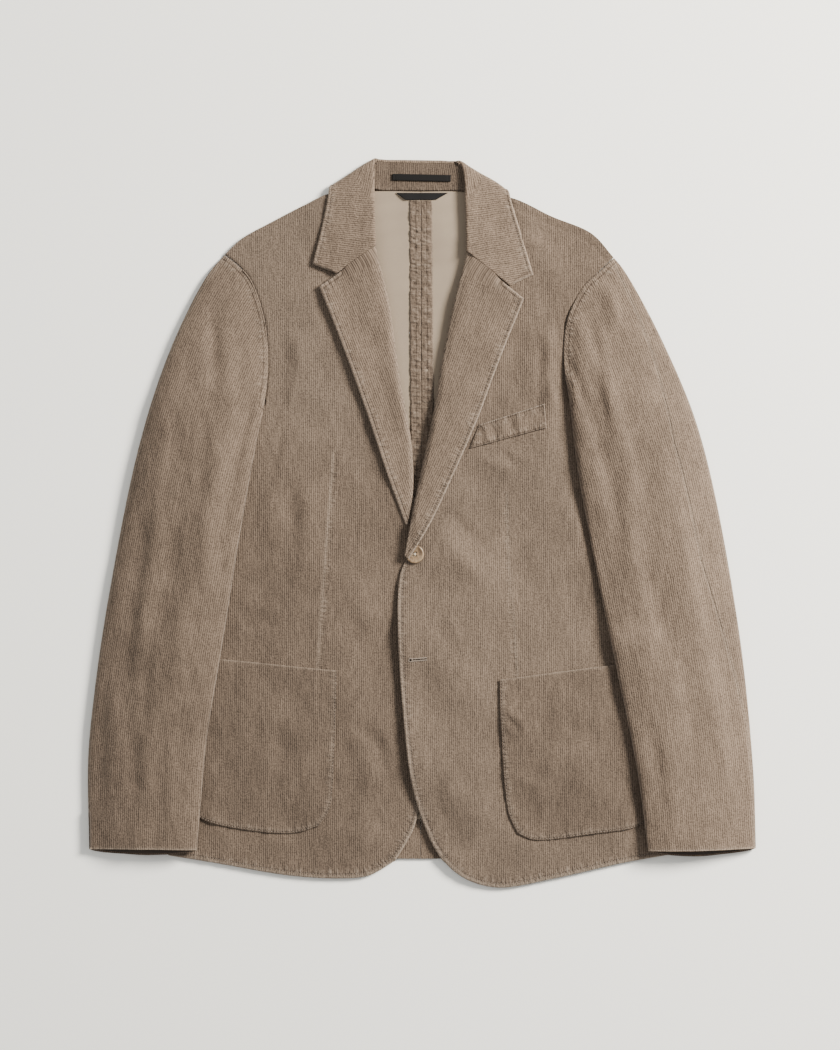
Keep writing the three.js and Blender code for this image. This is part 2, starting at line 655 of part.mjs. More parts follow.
// A turned button: a flat rim round a shallow dish
function button({ x, y }, underneath) {
  const radius = buttonDiameter / 2;
  const profile = table("r", "z")([
    [0, 0], [radius - 1.6, 0], [radius, 1], [radius - 0.9, buttonThickness],
    [radius - 2.6, buttonThickness - 0.1], [radius - 3.8, buttonThickness - 0.8],
    [0, buttonThickness - 0.8],
  ]);
  const geometry = new THREE.LatheGeometry(profile.map(({ r, z }) => new THREE.Vector2(r, z)), 20);
  geometry.rotateX(Math.PI / 2);
  geometry.translate(x, y, underneath);
  return geometry;
}

const colours = {
  corduroy: { color: 0x8f7e6c, roughness: 0.92 },
  inside: { color: 0xbbaf9e, roughness: 0.9 },
  ribbon: { color: 0x232326, roughness: 0.55 },
  horn: { color: 0x8a6b45, roughness: 0.35 },
};

const jacket = new THREE.Group();
function add(name, geometry, finish) {
  const mesh = new THREE.Mesh(geometry, new THREE.MeshStandardMaterial(colours[finish]));
  mesh.name = name;
  jacket.add(mesh);
}

for (const [name, half] of Object.entries({ left: leftHalf, right: rightHalf })) {
  add(`back_${name}`, backPanel(half), "inside");
  add(`seam_strip_${name}`, backSeamStrip(half.side), "inside");
  add(`front_${name}`, frontPanel(name, half), "corduroy");
  add(`lapel_${name}`, lapel(name, half), "corduroy");
  add(`sleeve_top_${name}`, sleevePiece(name, half, true), "corduroy");
  add(`sleeve_under_${name}`, sleevePiece(name, half, false), "corduroy");
  add(`pocket_${name}`, patchPocket(name, half), "corduroy");
}
add("collar_fall", collarFall(), "corduroy");
add("collar_stand", collarStand(), "corduroy");
add("neck_tab", neckTabPiece(), "ribbon");
add("hanger_loop", hangerLoopPiece(), "ribbon");
add("breast_welt", breastWeltPiece(), "corduroy");
add("button_upper", button(upperButton, topOfLeftFront(upperButton.x, upperButton.y) + 0.4), "horn");
add("button_lower", button(lowerButton, topOfRightFront(lowerButton.x, lowerButton.y) + 0.3), "horn");

export default jacket;
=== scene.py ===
import math

import bmesh
import bpy
import numpy as np
from mathutils import Matrix, Vector


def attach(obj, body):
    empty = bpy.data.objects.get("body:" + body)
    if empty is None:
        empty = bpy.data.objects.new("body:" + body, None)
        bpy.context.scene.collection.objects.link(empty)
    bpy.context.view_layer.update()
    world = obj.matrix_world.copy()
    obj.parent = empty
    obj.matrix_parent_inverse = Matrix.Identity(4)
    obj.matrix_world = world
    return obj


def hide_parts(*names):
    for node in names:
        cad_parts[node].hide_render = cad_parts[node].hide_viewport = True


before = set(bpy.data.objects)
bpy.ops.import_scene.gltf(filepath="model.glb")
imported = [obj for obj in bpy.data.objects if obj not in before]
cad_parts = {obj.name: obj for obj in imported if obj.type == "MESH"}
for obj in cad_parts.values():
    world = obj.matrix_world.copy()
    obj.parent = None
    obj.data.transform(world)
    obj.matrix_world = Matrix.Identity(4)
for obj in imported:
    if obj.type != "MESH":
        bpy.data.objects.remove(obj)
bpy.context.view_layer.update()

# Back: two panels of fine-wale cotton corduroy joined by a centre seam, cut whole to the shoulders.
# They lie face down, so their plain inside shows in the neck opening and below the fronts.
# The hem is turned up and stitched. Plans are in millimetres, x to the wearer's left, y to the collar.
SIDES = {"left": 1, "right": -1}
MM = 0.001
SHELL_CLOTH = 1.8
SEAM_INSET = 0.25
LAYER_GAP = 0.45
NECK_LIFT = 2.5
HEM_TURN_UP = 1.2
WALE_PITCH = 2.25
THREADS_A_METRE = 900
HEM_SHOWS, HEM_FLAT = -318, -345
BACK_COLUMNS, BACK_WIDTH = 60, 270
BACK_ROWS, BACK_LENGTH = 168, 720

side_seams = {"left": [(275, -356), (250, 98)], "right": [(-274, -358), (-250, 98)]}
underarms = {
    "left": [(250, 98), (195, 108), (172, 119), (159, 131)],
    "right": [(-250, 98), (-205, 106), (-182, 116), (-170, 128)],
}
armholes = {
    "left": [(159, 131), (153, 173), (156, 219), (174, 256), (190, 271), (207, 287)],
    "right": [(-170, 128), (-166, 166), (-168, 208), (-175, 239), (-186, 265), (-201, 281), (-213, 290)],
}
back_hems = {
    "left": [(-1.3, -362), (140, -361), (275, -356)],
    "right": [(-1.3, -362), (-140, -361), (-274, -358)],
}
back_tops = {
    "left": [(-1.3, 358), (45, 358), (93, 352), (141, 331), (183, 313), (207, 287)],
    "right": [(-1.3, 358), (-50, 358.5), (-98, 356), (-126, 344), (-159, 327), (-195, 307), (-213, 290)],
}
back_centre = [(-1.3, -362), (-1.3, 358)]


def ramp(value, start, end):
    share = np.clip((value - start) / (end - start), 0, 1)
    return share * share * (3 - 2 * share)


def mix(low, high, share):
    return low + (high - low) * share


def bell(distance, width):
    return np.exp(-((distance / width) ** 2))


def run_of(line):
    """How far along a line of points each point lies."""
    steps = np.linalg.norm(np.diff(line, axis=0), axis=-1)
    return np.concatenate([[0], np.cumsum(steps)])


def smooth_points(corners, per_span=24):
    """Points of a smooth curve through the corners."""
    knots = np.array(corners, float)
    knots = np.vstack([2 * knots[0] - knots[1], knots, 2 * knots[-1] - knots[-2]])
    shares = np.linspace(0, 1, per_span, endpoint=False)[:, None]
    spans = []
    for before, start, end, after in zip(knots, knots[1:], knots[2:], knots[3:]):
        lead, span, trail = (
            np.sqrt(np.linalg.norm(b - a)) for a, b in ((before, start), (start, end), (end, after))
        )
        leave = ((start - before) / lead - (end - before) / (lead + span) + (end - start) / span) * span
        arrive = ((end - start) / span - (after - start) / (span + trail) + (after - end) / trail) * span
        square = 3 * (end - start) - 2 * leave - arrive
        cube = 2 * (start - end) + leave + arrive
        spans.append(start + leave * shares + square * shares**2 + cube * shares**3)
    return np.vstack([*spans, knots[-2:-1]])


def along_line(corners):
    """A smooth line through the corners, read at shares of its length."""
    points = smooth_points(corners)
    lengths = run_of(points)
    lengths /= lengths[-1]
    return lambda shares: np.stack([np.interp(shares, lengths, axis) for axis in points.T], axis=-1)


def jointed_line(*stretches):
    """Lines end to end with a corner between them, each reaching to its share of the whole."""
    lines = [along_line(corners) for _, corners in stretches]
    ends = [0] + [end for end, _ in stretches]

    def at(shares):
        points = np.zeros(shares.shape + (2,))
        for line, start, end in zip(lines, ends, ends[1:]):
            here = (shares >= start - 1e-9) & (shares <= end + 1e-9)
            points[here] = line((shares[here] - start) / (end - start))
        return points

    return at


def shares_to_edge(count, length):
    """Even shares of a length in millimetres, with a few more close to both ends."""
    close = np.array([0.5, 1.1, 1.9]) / length
    return np.unique(np.concatenate([np.linspace(0, 1, count + 1), close, 1 - close]).round(6))


def panel_plan(near, far, low, high, across, along, reach=3):
    """A panel's plan between four edges: straight from near to far, and bowed at its two ends."""
    ends = np.array([0.0, 1.0])
    (near_low, near_high), (far_low, far_high) = near(ends), far(ends)
    across = np.broadcast_to(across, (len(along), np.shape(across)[-1]))
    wide = across[..., None]
    up = along[:, None, None]
    plan = mix(near(along)[:, None], far(along)[:, None], wide)
    plan = plan + (low(across) - mix(near_low, far_low, wide)) * (1 - up) ** reach
    plan = plan + (high(across) - mix(near_high, far_high, wide)) * up**reach
    return drawn_in(plan, SEAM_INSET)


def drawn_in(plan, distance):
    """Draws a plan's border in, so that neighbouring panels stay apart at the seam."""
    moved = plan.copy()
    for border, inner in ((np.s_[:, 0], np.s_[:, 1]), (np.s_[:, -1], np.s_[:, -2]),
                          (np.s_[0], np.s_[1]), (np.s_[-1], np.s_[-2])):
        toward = plan[inner] - plan[border]
        moved[border] += toward / np.linalg.norm(toward, axis=-1, keepdims=True) * distance
    return moved


def waves(x, y, size, seed, count=6):
    """Uneven soft waves of about one size in millimetres, mostly between -1 and 1."""
    chance = np.random.default_rng(seed)
    total = 0
    for _ in range(count):
        turn, phase = chance.uniform(0, math.tau, 2)
        length = size * chance.uniform(0.7, 1.7)
        total = total + np.sin((x * math.cos(turn) + y * math.sin(turn)) * math.tau / length + phase)
    return total / math.sqrt(count)


def near_line(x, y, corners):
    """How far each point is from a line, positive on its left, and how far along the line."""
    nearest = np.full(np.shape(x), 1e9)
    side = np.ones(np.shape(x))
    along = np.zeros(np.shape(x))
    run = 0.0
    points = np.array(corners, float)
    for start, end in zip(points, points[1:]):
        step = end - start
        length = np.hypot(*step)
        share = np.clip(((x - start[0]) * step[0] + (y - start[1]) * step[1]) / length**2, 0, 1)
        off_x = x - start[0] - share * step[0]
        off_y = y - start[1] - share * step[1]
        away = np.hypot(off_x, off_y)
        closer = away < nearest
        nearest = np.where(closer, away, nearest)
        side = np.where(closer, np.where(step[0] * off_y - step[1] * off_x < 0, -1, 1), side)
        along = np.where(closer, run + share * length, along)
        run += length
    return nearest * side, along, run


def fold_relief(x, y, folds):
    """Soft creases along drawn lines, each uneven along its length and steeper on one side.

    A fold is a row: its line's points, its width to the left and to the right of the line, and its height.
    """
    relief = np.zeros(np.shape(x))
    for number, (*line, left_width, right_width, height) in enumerate(folds):
        away, along, length = near_line(x, y, smooth_points(np.reshape(line, (-1, 2)), 6))
        width = np.where(away > 0, left_width, right_width)
        fade = ramp(along, 0, 0.3 * length) * (1 - ramp(along, 0.7 * length, length))
        uneven = 1 + 0.22 * np.sin(along / 17 + number) + 0.12 * np.sin(along / 7.3 + 2 * number)
        relief += height * fade * uneven * bell(away, width)
    return relief


def edge_relief(distance, along, stitch, seed, pucker=0.22):
    """A turned and stitched edge: a low roll, a groove along the stitches and uneven puckers."""
    uneven = waves(along, 0.35 * distance, 11, seed) + 0.6 * waves(along, 0.3 * distance, 7.5, seed + 50)
    roll = 0.25 * ramp(distance, 0, 1.5) * (1 - ramp(distance, stitch - 2, stitch))
    groove = -0.35 * bell(distance - stitch, 1.2)
    spread = bell(distance - stitch, 7.0)
    return roll + groove + pucker * uneven * spread


def rounded_edge(distance, cloth, radius=2.0):
    """How far the cloth's face comes down where it turns over its edge."""
    inside = np.clip(1 - distance / radius, 0, 1)
    return 0.8 * cloth * (1 - np.sqrt(1 - 0.96 * inside**2))


def mesh_of(name, shape):
    mesh = bpy.data.meshes.new(name)
    shape.to_mesh(mesh)
    shape.free()
    return mesh


def placed(name, contents):
    """An object of the scene that holds a mesh, a lamp or a camera."""
    piece = bpy.data.objects.new(name, contents)
    bpy.context.scene.collection.objects.link(piece)
    return piece


def cloth_piece(name, points, cloth, across, along, side=1, stitch=None, wear_and_painted_light=None, hem_rows=0):
    """A sheet of cloth through a grid of points, with maps of its wales and its stitched edge.

    Its last rows may be a turned-in hem, which shows the third material on both sides.
    """
    rows, columns = points.shape[:2]
    sheet = bmesh.new()
    bmesh.ops.create_grid(sheet, x_segments=columns - 1, y_segments=rows - 1, size=1)
    mesh = mesh_of(name, sheet)
    flat = np.empty(len(mesh.vertices) * 3)
    mesh.vertices.foreach_get("co", flat)
    flat = flat.reshape(-1, 3)[:, :2]
    flat = (flat - flat.min(axis=0)) / np.ptp(flat, axis=0)
    column = np.rint(flat[:, 0] * (columns - 1)).astype(int)
    row = np.rint(flat[:, 1] * (rows - 1)).astype(int)
    mesh.vertices.foreach_set("co", (points[row, column] * MM).ravel())
    if side < 0:
        mesh.flip_normals()
    corner_vertex = np.empty(len(mesh.loops), int)
    mesh.loops.foreach_get("vertex_index", corner_vertex)
    far_away = np.full((rows, columns), 1000.0)
    edge_distance, edge_along = (far_away, far_away) if stitch is None else stitch
    for map_name, first, second in (("wales", across, along), ("stitch", edge_distance, edge_along)):
        values = np.stack([first, second], axis=-1)[row, column] * MM
        mesh.uv_layers.new(name=map_name).data.foreach_set("uv", values[corner_vertex].ravel())
    hemmed = row[corner_vertex].reshape(-1, 4).min(axis=1) >= rows - 1 - hem_rows
    mesh.polygons.foreach_set("material_index", 2 * hemmed.astype(np.int32))
    # Wear for each point, and on the fronts painted light and shade as well, read by the cloth's shader.
    wear = np.zeros((rows, columns)) if wear_and_painted_light is None else wear_and_painted_light
    mesh.attributes.new("wear_and_painted_light", "FLOAT", "POINT").data.foreach_set("value", wear[row, column])
    mesh.shade_smooth()
    mesh.update()
    piece = placed(name, mesh)
    wall = piece.modifiers.new("cloth wall", "SOLIDIFY")
    wall.thickness = cloth * MM
    wall.offset = -1
    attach(piece, "root")
    return piece


def add_node(tree, kind, values=(), **settings):
    """A node with its settings made, and its numbered inputs set or linked."""
    node = tree.nodes.new(kind)
    for key, value in settings.items():
        setattr(node, key, value)
    for key, value in dict(values).items():
        if isinstance(value, bpy.types.NodeSocket):
            tree.links.new(value, node.inputs[key])
        else:
            node.inputs[key].default_value = value
    return node


def calc(tree, operation, first, second=0.0, third=0.0):
    values = {0: first, 1: second, 2: third}
    return add_node(tree, "ShaderNodeMath", values, operation=operation).outputs[0]


def noise(tree, vector, scale, detail=2.0, roughness=0.5):
    values = {"Vector": vector, "Scale": scale, "Detail": detail, "Roughness": roughness}
    return add_node(tree, "ShaderNodeTexNoise", values).outputs["Fac"]


def span(tree, value, low, high, new_low=0.0, new_high=1.0):
    """Carries a value smoothly from one range into another."""
    values = {"Value": value, "From Min": low, "From Max": high, "To Min": new_low, "To Max": new_high}
    return add_node(tree, "ShaderNodeMapRange", values, interpolation_type="SMOOTHSTEP").outputs["Result"]


def blend(tree, share, first, second, blend_type="MIX"):
    node = add_node(tree, "ShaderNodeMix", data_type="RGBA", blend_type=blend_type)
    for socket, value in zip((node.inputs[0], node.inputs[6], node.inputs[7]), (share, first, second)):
        if isinstance(value, bpy.types.NodeSocket):
            tree.links.new(value, socket)
        else:
            socket.default_value = value
    return node.outputs[2]


def object_place(tree):
    return add_node(tree, "ShaderNodeTexCoord").outputs["Object"]


def own_map(tree, name):
    """A piece's own map, whole and in its parts."""
    vector = add_node(tree, "ShaderNodeUVMap", uv_map=name).outputs[0]
    return vector, add_node(tree, "ShaderNodeSeparateXYZ", {0: vector}).outputs


def shaded(tree, colour, tone):
    """A colour made lighter or darker by a tone near 1."""
    grey = add_node(tree, "ShaderNodeCombineColor", {0: tone, 1: tone, 2: tone}).outputs[0]
    return blend(tree, 1.0, colour, grey, "MULTIPLY")


def bumped(tree, strength, height, normal):
    """Small relief, with its height in metres."""
    bump = add_node(tree, "ShaderNodeBump", {"Strength": strength, "Distance": 1.0, "Height": height})
    tree.links.new(bump.outputs[0], normal)


def centred(tree, value, amount):
    """A noise between 0 and 1 made to swing an amount to either side of 0."""
    return calc(tree, "MULTIPLY", calc(tree, "SUBTRACT", value, 0.5), amount)


def corduroy_group():
    """Pile ribs, washed and abraded, with painted shade in the stitch groove and painted highlights on the
    puckers: their colour, roughness and surface.
    """
    group = bpy.data.node_groups.new("washed corduroy", "ShaderNodeTree")
    for way, label, kind in (
            ("INPUT", "Rib", "Color"), ("INPUT", "Groove", "Color"), ("INPUT", "Rubbed and lit", "Color"),
            ("INPUT", "Stitch in", "Float"), ("OUTPUT", "Color", "Color"),
            ("OUTPUT", "Roughness", "Float"), ("OUTPUT", "Normal", "Vector")):
        group.interface.new_socket(label, in_out=way, socket_type=f"NodeSocket{kind}")
    entry = group.nodes.new("NodeGroupInput").outputs
    leave = group.nodes.new("NodeGroupOutput").inputs
    wales, parts = own_map(group, "wales")
    place = object_place(group)
    drift = centred(group, noise(group, wales, 55.0), 0.0022)
    across = calc(group, "ADD", drift, parts["X"])
    turn = calc(group, "MULTIPLY", across, math.pi / (WALE_PITCH * MM))
    arch = calc(group, "ABSOLUTE", calc(group, "SINE", turn))
    rib = calc(group, "POWER", arch, 0.75)
    ribbed = add_node(group, "ShaderNodeCombineXYZ", {
        "X": calc(group, "MULTIPLY", across, 1 / (WALE_PITCH * MM)),
        "Y": calc(group, "MULTIPLY", parts["Y"], 60.0)}).outputs[0]
    streak = noise(group, ribbed, 0.8, 3.0)
    pile = noise(group, wales, 1500.0, 2.0, 0.7)
    tuft = noise(group, wales, 520.0, 3.0, 0.7)
    standing = span(group, noise(group, place, 70.0, 3.0, 0.6), 0.34, 0.62, 0.6, 1.0)
    slanted = add_node(group, "ShaderNodeMapping", {
        "Vector": place, "Rotation": (0, 0, 0.9), "Scale": (1.0, 0.45, 1.0)}).outputs[0]
    scuff = noise(group, slanted, 210.0, 4.0, 0.65)
    wash = noise(group, place, 16.0, 5.0, 0.62)
    patch = noise(group, place, 5.0, 2.0)
    shade = calc(group, "MULTIPLY_ADD", calc(group, "SUBTRACT", rib, 0.64), standing, 0.62)
    shade = calc(group, "ADD", centred(group, streak, 0.8), shade)
    shade = calc(group, "ADD", centred(group, tuft, 2.6), shade)
    ribs = blend(group, span(group, shade, 0.05, 1.15), entry["Groove"], entry["Rib"])
    tone = calc(group, "ADD", centred(group, wash, 0.62), centred(group, patch, 0.35))
    tone = calc(group, "ADD", centred(group, scuff, 0.7), tone)
    washed = shaded(group, ribs, calc(group, "ADD", tone, 1.0))
    wear_and_painted_light = add_node(group, "ShaderNodeAttribute", attribute_name="wear_and_painted_light").outputs["Fac"]
    _, edge = own_map(group, "stitch")
    stretched = add_node(group, "ShaderNodeCombineXYZ", {
        "X": calc(group, "MULTIPLY", edge["X"], 0.3), "Y": edge["Y"]}).outputs[0]
    pucker = noise(group, stretched, 270.0, 2.0, 0.6)
    past_stitch = calc(group, "ABSOLUTE", calc(group, "SUBTRACT", edge["X"], entry["Stitch in"]))
    close = span(group, past_stitch, 0.001, 0.009, 1.0, 0.0)
    gather = calc(group, "MULTIPLY", calc(group, "SUBTRACT", pucker, 0.5), close)
    # Painted shade: along the stitch line the colour is darkened towards the groove colour, as the shadow
    # in the stitched groove; the same mask dents the bump.
    groove = span(group, past_stitch, 0.0003, 0.0011, 1.0, 0.0)
    groove = calc(group, "MULTIPLY", groove, span(group, pucker, 0.35, 0.6, 1.0, 0.55))
    # Painted highlight: the raised half of each pucker is coloured lighter, towards the rubbed colour, on
    # top of the wear.
    pucker_highlight = calc(group, "MULTIPLY", calc(group, "MAXIMUM", gather, 0.0), 2.2)
    rubbed_and_lit = calc(group, "MULTIPLY", wear_and_painted_light, span(group, tuft, 0.35, 0.65, 0.35, 1.0))
    rubbed_and_lit = calc(group, "MAXIMUM", rubbed_and_lit, pucker_highlight)
    rubbed_and_lit_color = blend(group, rubbed_and_lit, washed, entry["Rubbed and lit"])
    leave_color = blend(group, calc(group, "MULTIPLY", groove, 0.9), rubbed_and_lit_color, entry["Groove"])
    raised = calc(group, "MULTIPLY", rib, standing)
    relief = calc(group, "MULTIPLY_ADD", raised, 0.0003, calc(group, "MULTIPLY", gather, 0.003))
    relief = calc(group, "MULTIPLY_ADD", groove, -0.0004, relief)
    relief = calc(group, "MULTIPLY_ADD", pile, 0.00022, relief)
    relief = calc(group, "MULTIPLY_ADD", tuft, 0.0006, relief)
    relief = calc(group, "MULTIPLY_ADD", scuff, 0.0011, relief)
    bumped(group, 0.8, relief, leave["Normal"])
    group.links.new(leave_color, leave["Color"])
    group.links.new(span(group, pile, 0.2, 0.8, 0.98, 0.82), leave["Roughness"])
    return group


WASHED_CORDUROY = corduroy_group()


def new_material(name, roughness, sheen=0.0, sheen_tint=(1, 1, 1, 1), sheen_roughness=0.4):
    material = bpy.data.materials.new(name)
    material.use_nodes = True
    shader = material.node_tree.nodes["Principled BSDF"]
    shader.inputs["Roughness"].default_value = roughness
    shader.inputs["Sheen Weight"].default_value = sheen
    shader.inputs["Sheen Tint"].default_value = sheen_tint
    shader.inputs["Sheen Roughness"].default_value = sheen_roughness
    return material, shader


def mottled(name, grain_scale, detail, dark, light, roughness, *sheen):
    """A plain material between two colours, with its shader and its grain."""
    material, shader = new_material(name, roughness, *sheen)
    tree = material.node_tree
    grain = noise(tree, object_place(tree), grain_scale, detail)
    tree.links.new(blend(tree, grain, (*dark, 1), (*light, 1)), shader.inputs["Base Color"])
    return material, shader, grain


def corduroy(name, lightness=1.0, stitch_in=5.0):
    """The jacket's cloth, a little lighter or darker from one piece to the next."""
    material, shader = new_material(name, 0.9, 0.22, (1.0, 0.84, 0.7, 1), 0.45)
    shader.inputs["Specular IOR Level"].default_value = 0.15
    cloth = material.node_tree.nodes.new("ShaderNodeGroup")
    cloth.node_tree = WASHED_CORDUROY
    # The rubbed colour serves for worn places, and also as the painted highlight on the puckers.
    for label, colour in (("Rib", (0.152, 0.11, 0.0775)), ("Groove", (0.053, 0.037, 0.0255)),
                          ("Rubbed and lit", (0.255, 0.199, 0.149))):
        cloth.inputs[label].default_value = (*(lightness * part for part in colour), 1)
    cloth.inputs["Stitch in"].default_value = stitch_in * MM
    for source, target in (("Color", "Base Color"), ("Roughness", "Roughness"), ("Normal", "Normal")):
        material.node_tree.links.new(cloth.outputs[source], shader.inputs[target])
    return material


def inside_cloth(name, colour):
    """The plain back of the cloth: matt, washed a little uneven, with a fine twill weave."""
    material, shader = new_material(name, 0.92, 0.2, (1.0, 0.96, 0.9, 1), 0.5)
    tree = material.node_tree
    shader.inputs["Specular IOR Level"].default_value = 0.15
    wales, parts = own_map(tree, "wales")
    slant = calc(tree, "MULTIPLY_ADD", parts["Y"], 0.6, parts["X"])
    twill = calc(tree, "SINE", calc(tree, "MULTIPLY", slant, math.tau * THREADS_A_METRE))
    thread = noise(tree, wales, 1300.0, 3.0, 0.7)
    wash = noise(tree, object_place(tree), 18.0, 4.0, 0.6)
    tone = calc(tree, "ADD", centred(tree, wash, 0.22), 1.0)
    tone = calc(tree, "ADD", centred(tree, thread, 0.35), tone)
    tree.links.new(shaded(tree, (*colour, 1), tone), shader.inputs["Base Color"])
    height = calc(tree, "MULTIPLY_ADD", twill, 0.00005, calc(tree, "MULTIPLY", thread, 0.00025))
    bumped(tree, 0.6, height, shader.inputs["Normal"])
    return material


def lift_of_back(x, y):
    return NECK_LIFT * ramp(y, 262, 322) * (1 - ramp(np.abs(x), 108, 140))


def top_of_back(x, y):
    return lift_of_back(x, y) + SHELL_CLOTH + HEM_TURN_UP * (1 - ramp(y, HEM_FLAT, HEM_SHOWS))


inside_face = inside_cloth("inside of the cloth", (0.24, 0.187, 0.132))
back_face = corduroy("back corduroy")
for name, side in SIDES.items():
    plan = panel_plan(
        along_line(back_centre),
        jointed_line((0.5, side_seams[name]), (16 / 24, underarms[name]), (1, armholes[name])),
        along_line(back_hems[name]), along_line(back_tops[name]),
        shares_to_edge(BACK_COLUMNS, BACK_WIDTH), shares_to_edge(BACK_ROWS, BACK_LENGTH))
    x, y = plan[..., 0], plan[..., 1]
    neck_waves = (0.5 * waves(x, y, 60, 4) + 0.3 * waves(x * 0.5, y, 16, 5)) * ramp(y, -330, -300)
    height = np.maximum(top_of_back(x, y) + neck_waves, SHELL_CLOTH + 0.02)
    back = cloth_piece(f"back_{name}_cloth", np.dstack([x, y, height]), SHELL_CLOTH, x, y, side)
    back.data.materials.append(inside_face)
    back.data.materials.append(back_face)
    back.modifiers["cloth wall"].material_offset = 1
    for face in back.data.polygons:
        face.material_index = int(face.center.y < HEM_SHOWS * MM)
    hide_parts(f"back_{name}")

# Fronts: two corduroy panels that lie on the back, the left lapped over the right.
# Each has a long dart, a shoulder seam, a rounded lower corner, and an edge and hem turned and stitched.
FRONT_CLOTH = 2.2
FRONT_WALL = FRONT_CLOTH - 0.4
FRONT_RISE = 3.0
BUTTON_SPACE = 3.1
ROLL_INSET = 3.4
STITCH_IN = 5.0
CLEARANCE = 0.25
EDGE_LIFT = 3.2
FRONT_COLUMNS, FRONT_WIDTH = 110, 280
FRONT_ROWS, FRONT_LENGTH = 240, 745
STITCH_PITCH = 3.3
STITCH_RADIUS = 0.24
STITCH_ENDS = (0.4, 2.9)
FIRST_STITCH, LAST_STITCH = 2, 4
STITCH_RISE = 0.08
HALF_A_THREAD = 0.56
SHOULDER_X, SHOULDER_Y, SHOULDER_SLOPE = 93, 352, 0.57

front_edges = {
    "left": [(20, -361), (8, -340), (-10, -287), (-20, -214), (-26.5, -112), (-25, -59), (-19, -35)],
    "right": [(-29, -364), (-16, -343), (-7, -324), (8, -240), (10, -150), (9, -60), (2, 0), (-8, 35)],
}
roll_lines = {
    "left": [(-19, -35), (-8, 24), (11, 113), (21, 173), (35, 241), (48, 292)],
    "right": [(-8, 35), (-11, 84), (-24, 159), (-36, 241), (-50, 298)],
}
neck_edges = {
    "left": [(48, 292), (58, 318), (66, 350)],
    "right": [(-50, 298), (-62, 322), (-70, 352)],
}
hems = {
    "left": [(20, -361), (37, -377), (55, -387), (84, -393), (143, -383), (218, -366), (275, -356)],
    "right": [(-29, -364), (-58, -380), (-89, -383), (-142, -380), (-225, -366), (-274, -358)],
}
shoulders = {
    "left": [(66, 350), (93, 352), (141, 331), (183, 313), (207, 287)],
    "right": [(-70, 352), (-98, 356), (-126, 344), (-159, 327), (-195, 307), (-213, 290)],
}
roll_starts = {"left": -35, "right": 35}
body_y = (-390, -264, -83, 62, 131, 173, 236, 290)
body_half = (262, 246, 212, 180, 165, 157, 165, 212)
# Wide soft folds that the solids have as well: a line's two ends, its width and its height
wide_folds = [
    (138, 210, 130, 60, 26, 2.4), (122, 190, 118, 90, 18, -1.2), (-135, 205, -150, 60, 26, 2.0),
    (60, -60, 96, -150, 24, 1.4), (-70, -170, -105, -60, 28, 1.6), (-40, -260, -70, -190, 24, 1.4),
    (50, -300, 62, -190, 22, 1.2),
]
# Narrower folds, one a row: the points of a line, its width on its left and on its right, and its height
front_folds = {
    "left": [
        (146, 222, 142, 170, 138, 110, 139, 60, 7, 14, 1.3), (131, 205, 127, 160, 126, 112, 8, 6, -1.2),
        (62, 74, 82, 62, 104, 56, 5, 8, 0.8), (84, 78, 100, 66, 112, 62, 4, 6, -0.7),
        (4, -38, 30, 0, 52, 52, 9, 16, 0.9), (8, -50, 48, -36, 88, -12, 8, 14, 0.7),
        (90, -202, 97, -214, 92, -228, 4, 6, 0.7), (150, 40, 176, -30, 198, -110, 8, 14, 0.9),
        (70, -230, 66, -290, 58, -350, 10, 16, 0.9), (10, -190, 2, -240, 8, -300, 7, 9, 0.7),
        (2, 11, 36, -28, 73, -71, 7, 11, 1.0), (16, 22, 50, -8, 86, -44, 6, 9, -0.9),
        (145, 212, 146, 160, 142, 112, 6, 8, 0.9), (24, -96, 34, -112, 40, -134, 5, 7, 0.7),
        (138, 228, 137, 170, 136, 112, 9, 34, 2.0), (102, 215, 99, 170, 97, 130, 16, 14, -1.1),
    ],
    "right": [
        (-158, 118, -170, 70, -178, 20, 8, 16, 1.3), (-150, 112, -160, 66, -168, 26, 5, 7, -0.9),
        (-84, -202, -64, -250, -50, -300, 10, 15, 1.0), (-70, -186, -48, -236, -30, -290, 7, 9, -0.8),
        (-36, -150, -60, -100, -84, -40, 12, 18, 0.8), (-120, 60, -124, 0, -120, -70, 12, 9, 0.9),
        (-190, -60, -196, -100, -204, -140, 10, 8, 0.9), (-40, -300, -62, -340, -78, -372, 8, 12, 0.9),
        (-52, -236, -58, -286, -72, -334, 7, 10, 0.8), (-8, -20, -34, 30, -52, 90, 8, 14, 0.8),
        (-90, -206, -62, -226, -35, -245, 7, 9, -0.9), (-60, -301, -50, -317, -40, -332, 6, 8, -0.9),
        (-205, -95, -178, -104, -150, -112, 8, 11, -1.0), (-144, 60, -140, 0, -146, -60, 9, 12, -0.9),
        (-142, 215, -141, 165, -143, 120, 34, 9, 1.6),
    ],
}
darts = {
    "left": [(89, 32), (93, -57), (100, -158), (104, -200)],
    "right": [(-93, 76), (-101, -19), (-110, -151), (-112, -200)],
}


def nearest_edge(x, y, *lines):
    """The distance to the nearest of some finished edges, and how far along it."""
    nearest = np.full(np.shape(x), 1e9)
    place = np.zeros(np.shape(x))
    start = 0.0
    for line in lines:
        away, along, length = near_line(x, y, smooth_points(line, 8))
        closer = np.abs(away) < nearest
        nearest = np.where(closer, np.abs(away), nearest)
        place = np.where(closer, start + along, place)
        start += length
    return nearest, place


def wide_relief(x, y):
    relief = np.zeros(np.shape(x))
    for x1, y1, x2, y2, width, height in wide_folds:
        away, _, _ = near_line(x, y, [(x1, y1), (x2, y2)])
        relief += height * bell(away, width)
    return relief


def rise_share(x, y):
    """How far a front has risen off the back: not at its seams, and fully in its middle."""
    half = np.interp(y, body_y, body_half)
    shoulder_y = SHOULDER_Y - np.maximum(0, np.abs(x) - SHOULDER_X) * SHOULDER_SLOPE
    return ramp(half - np.abs(x), 0, 80) * ramp(y, -372, -290) * ramp(shoulder_y - y, 0, 110)


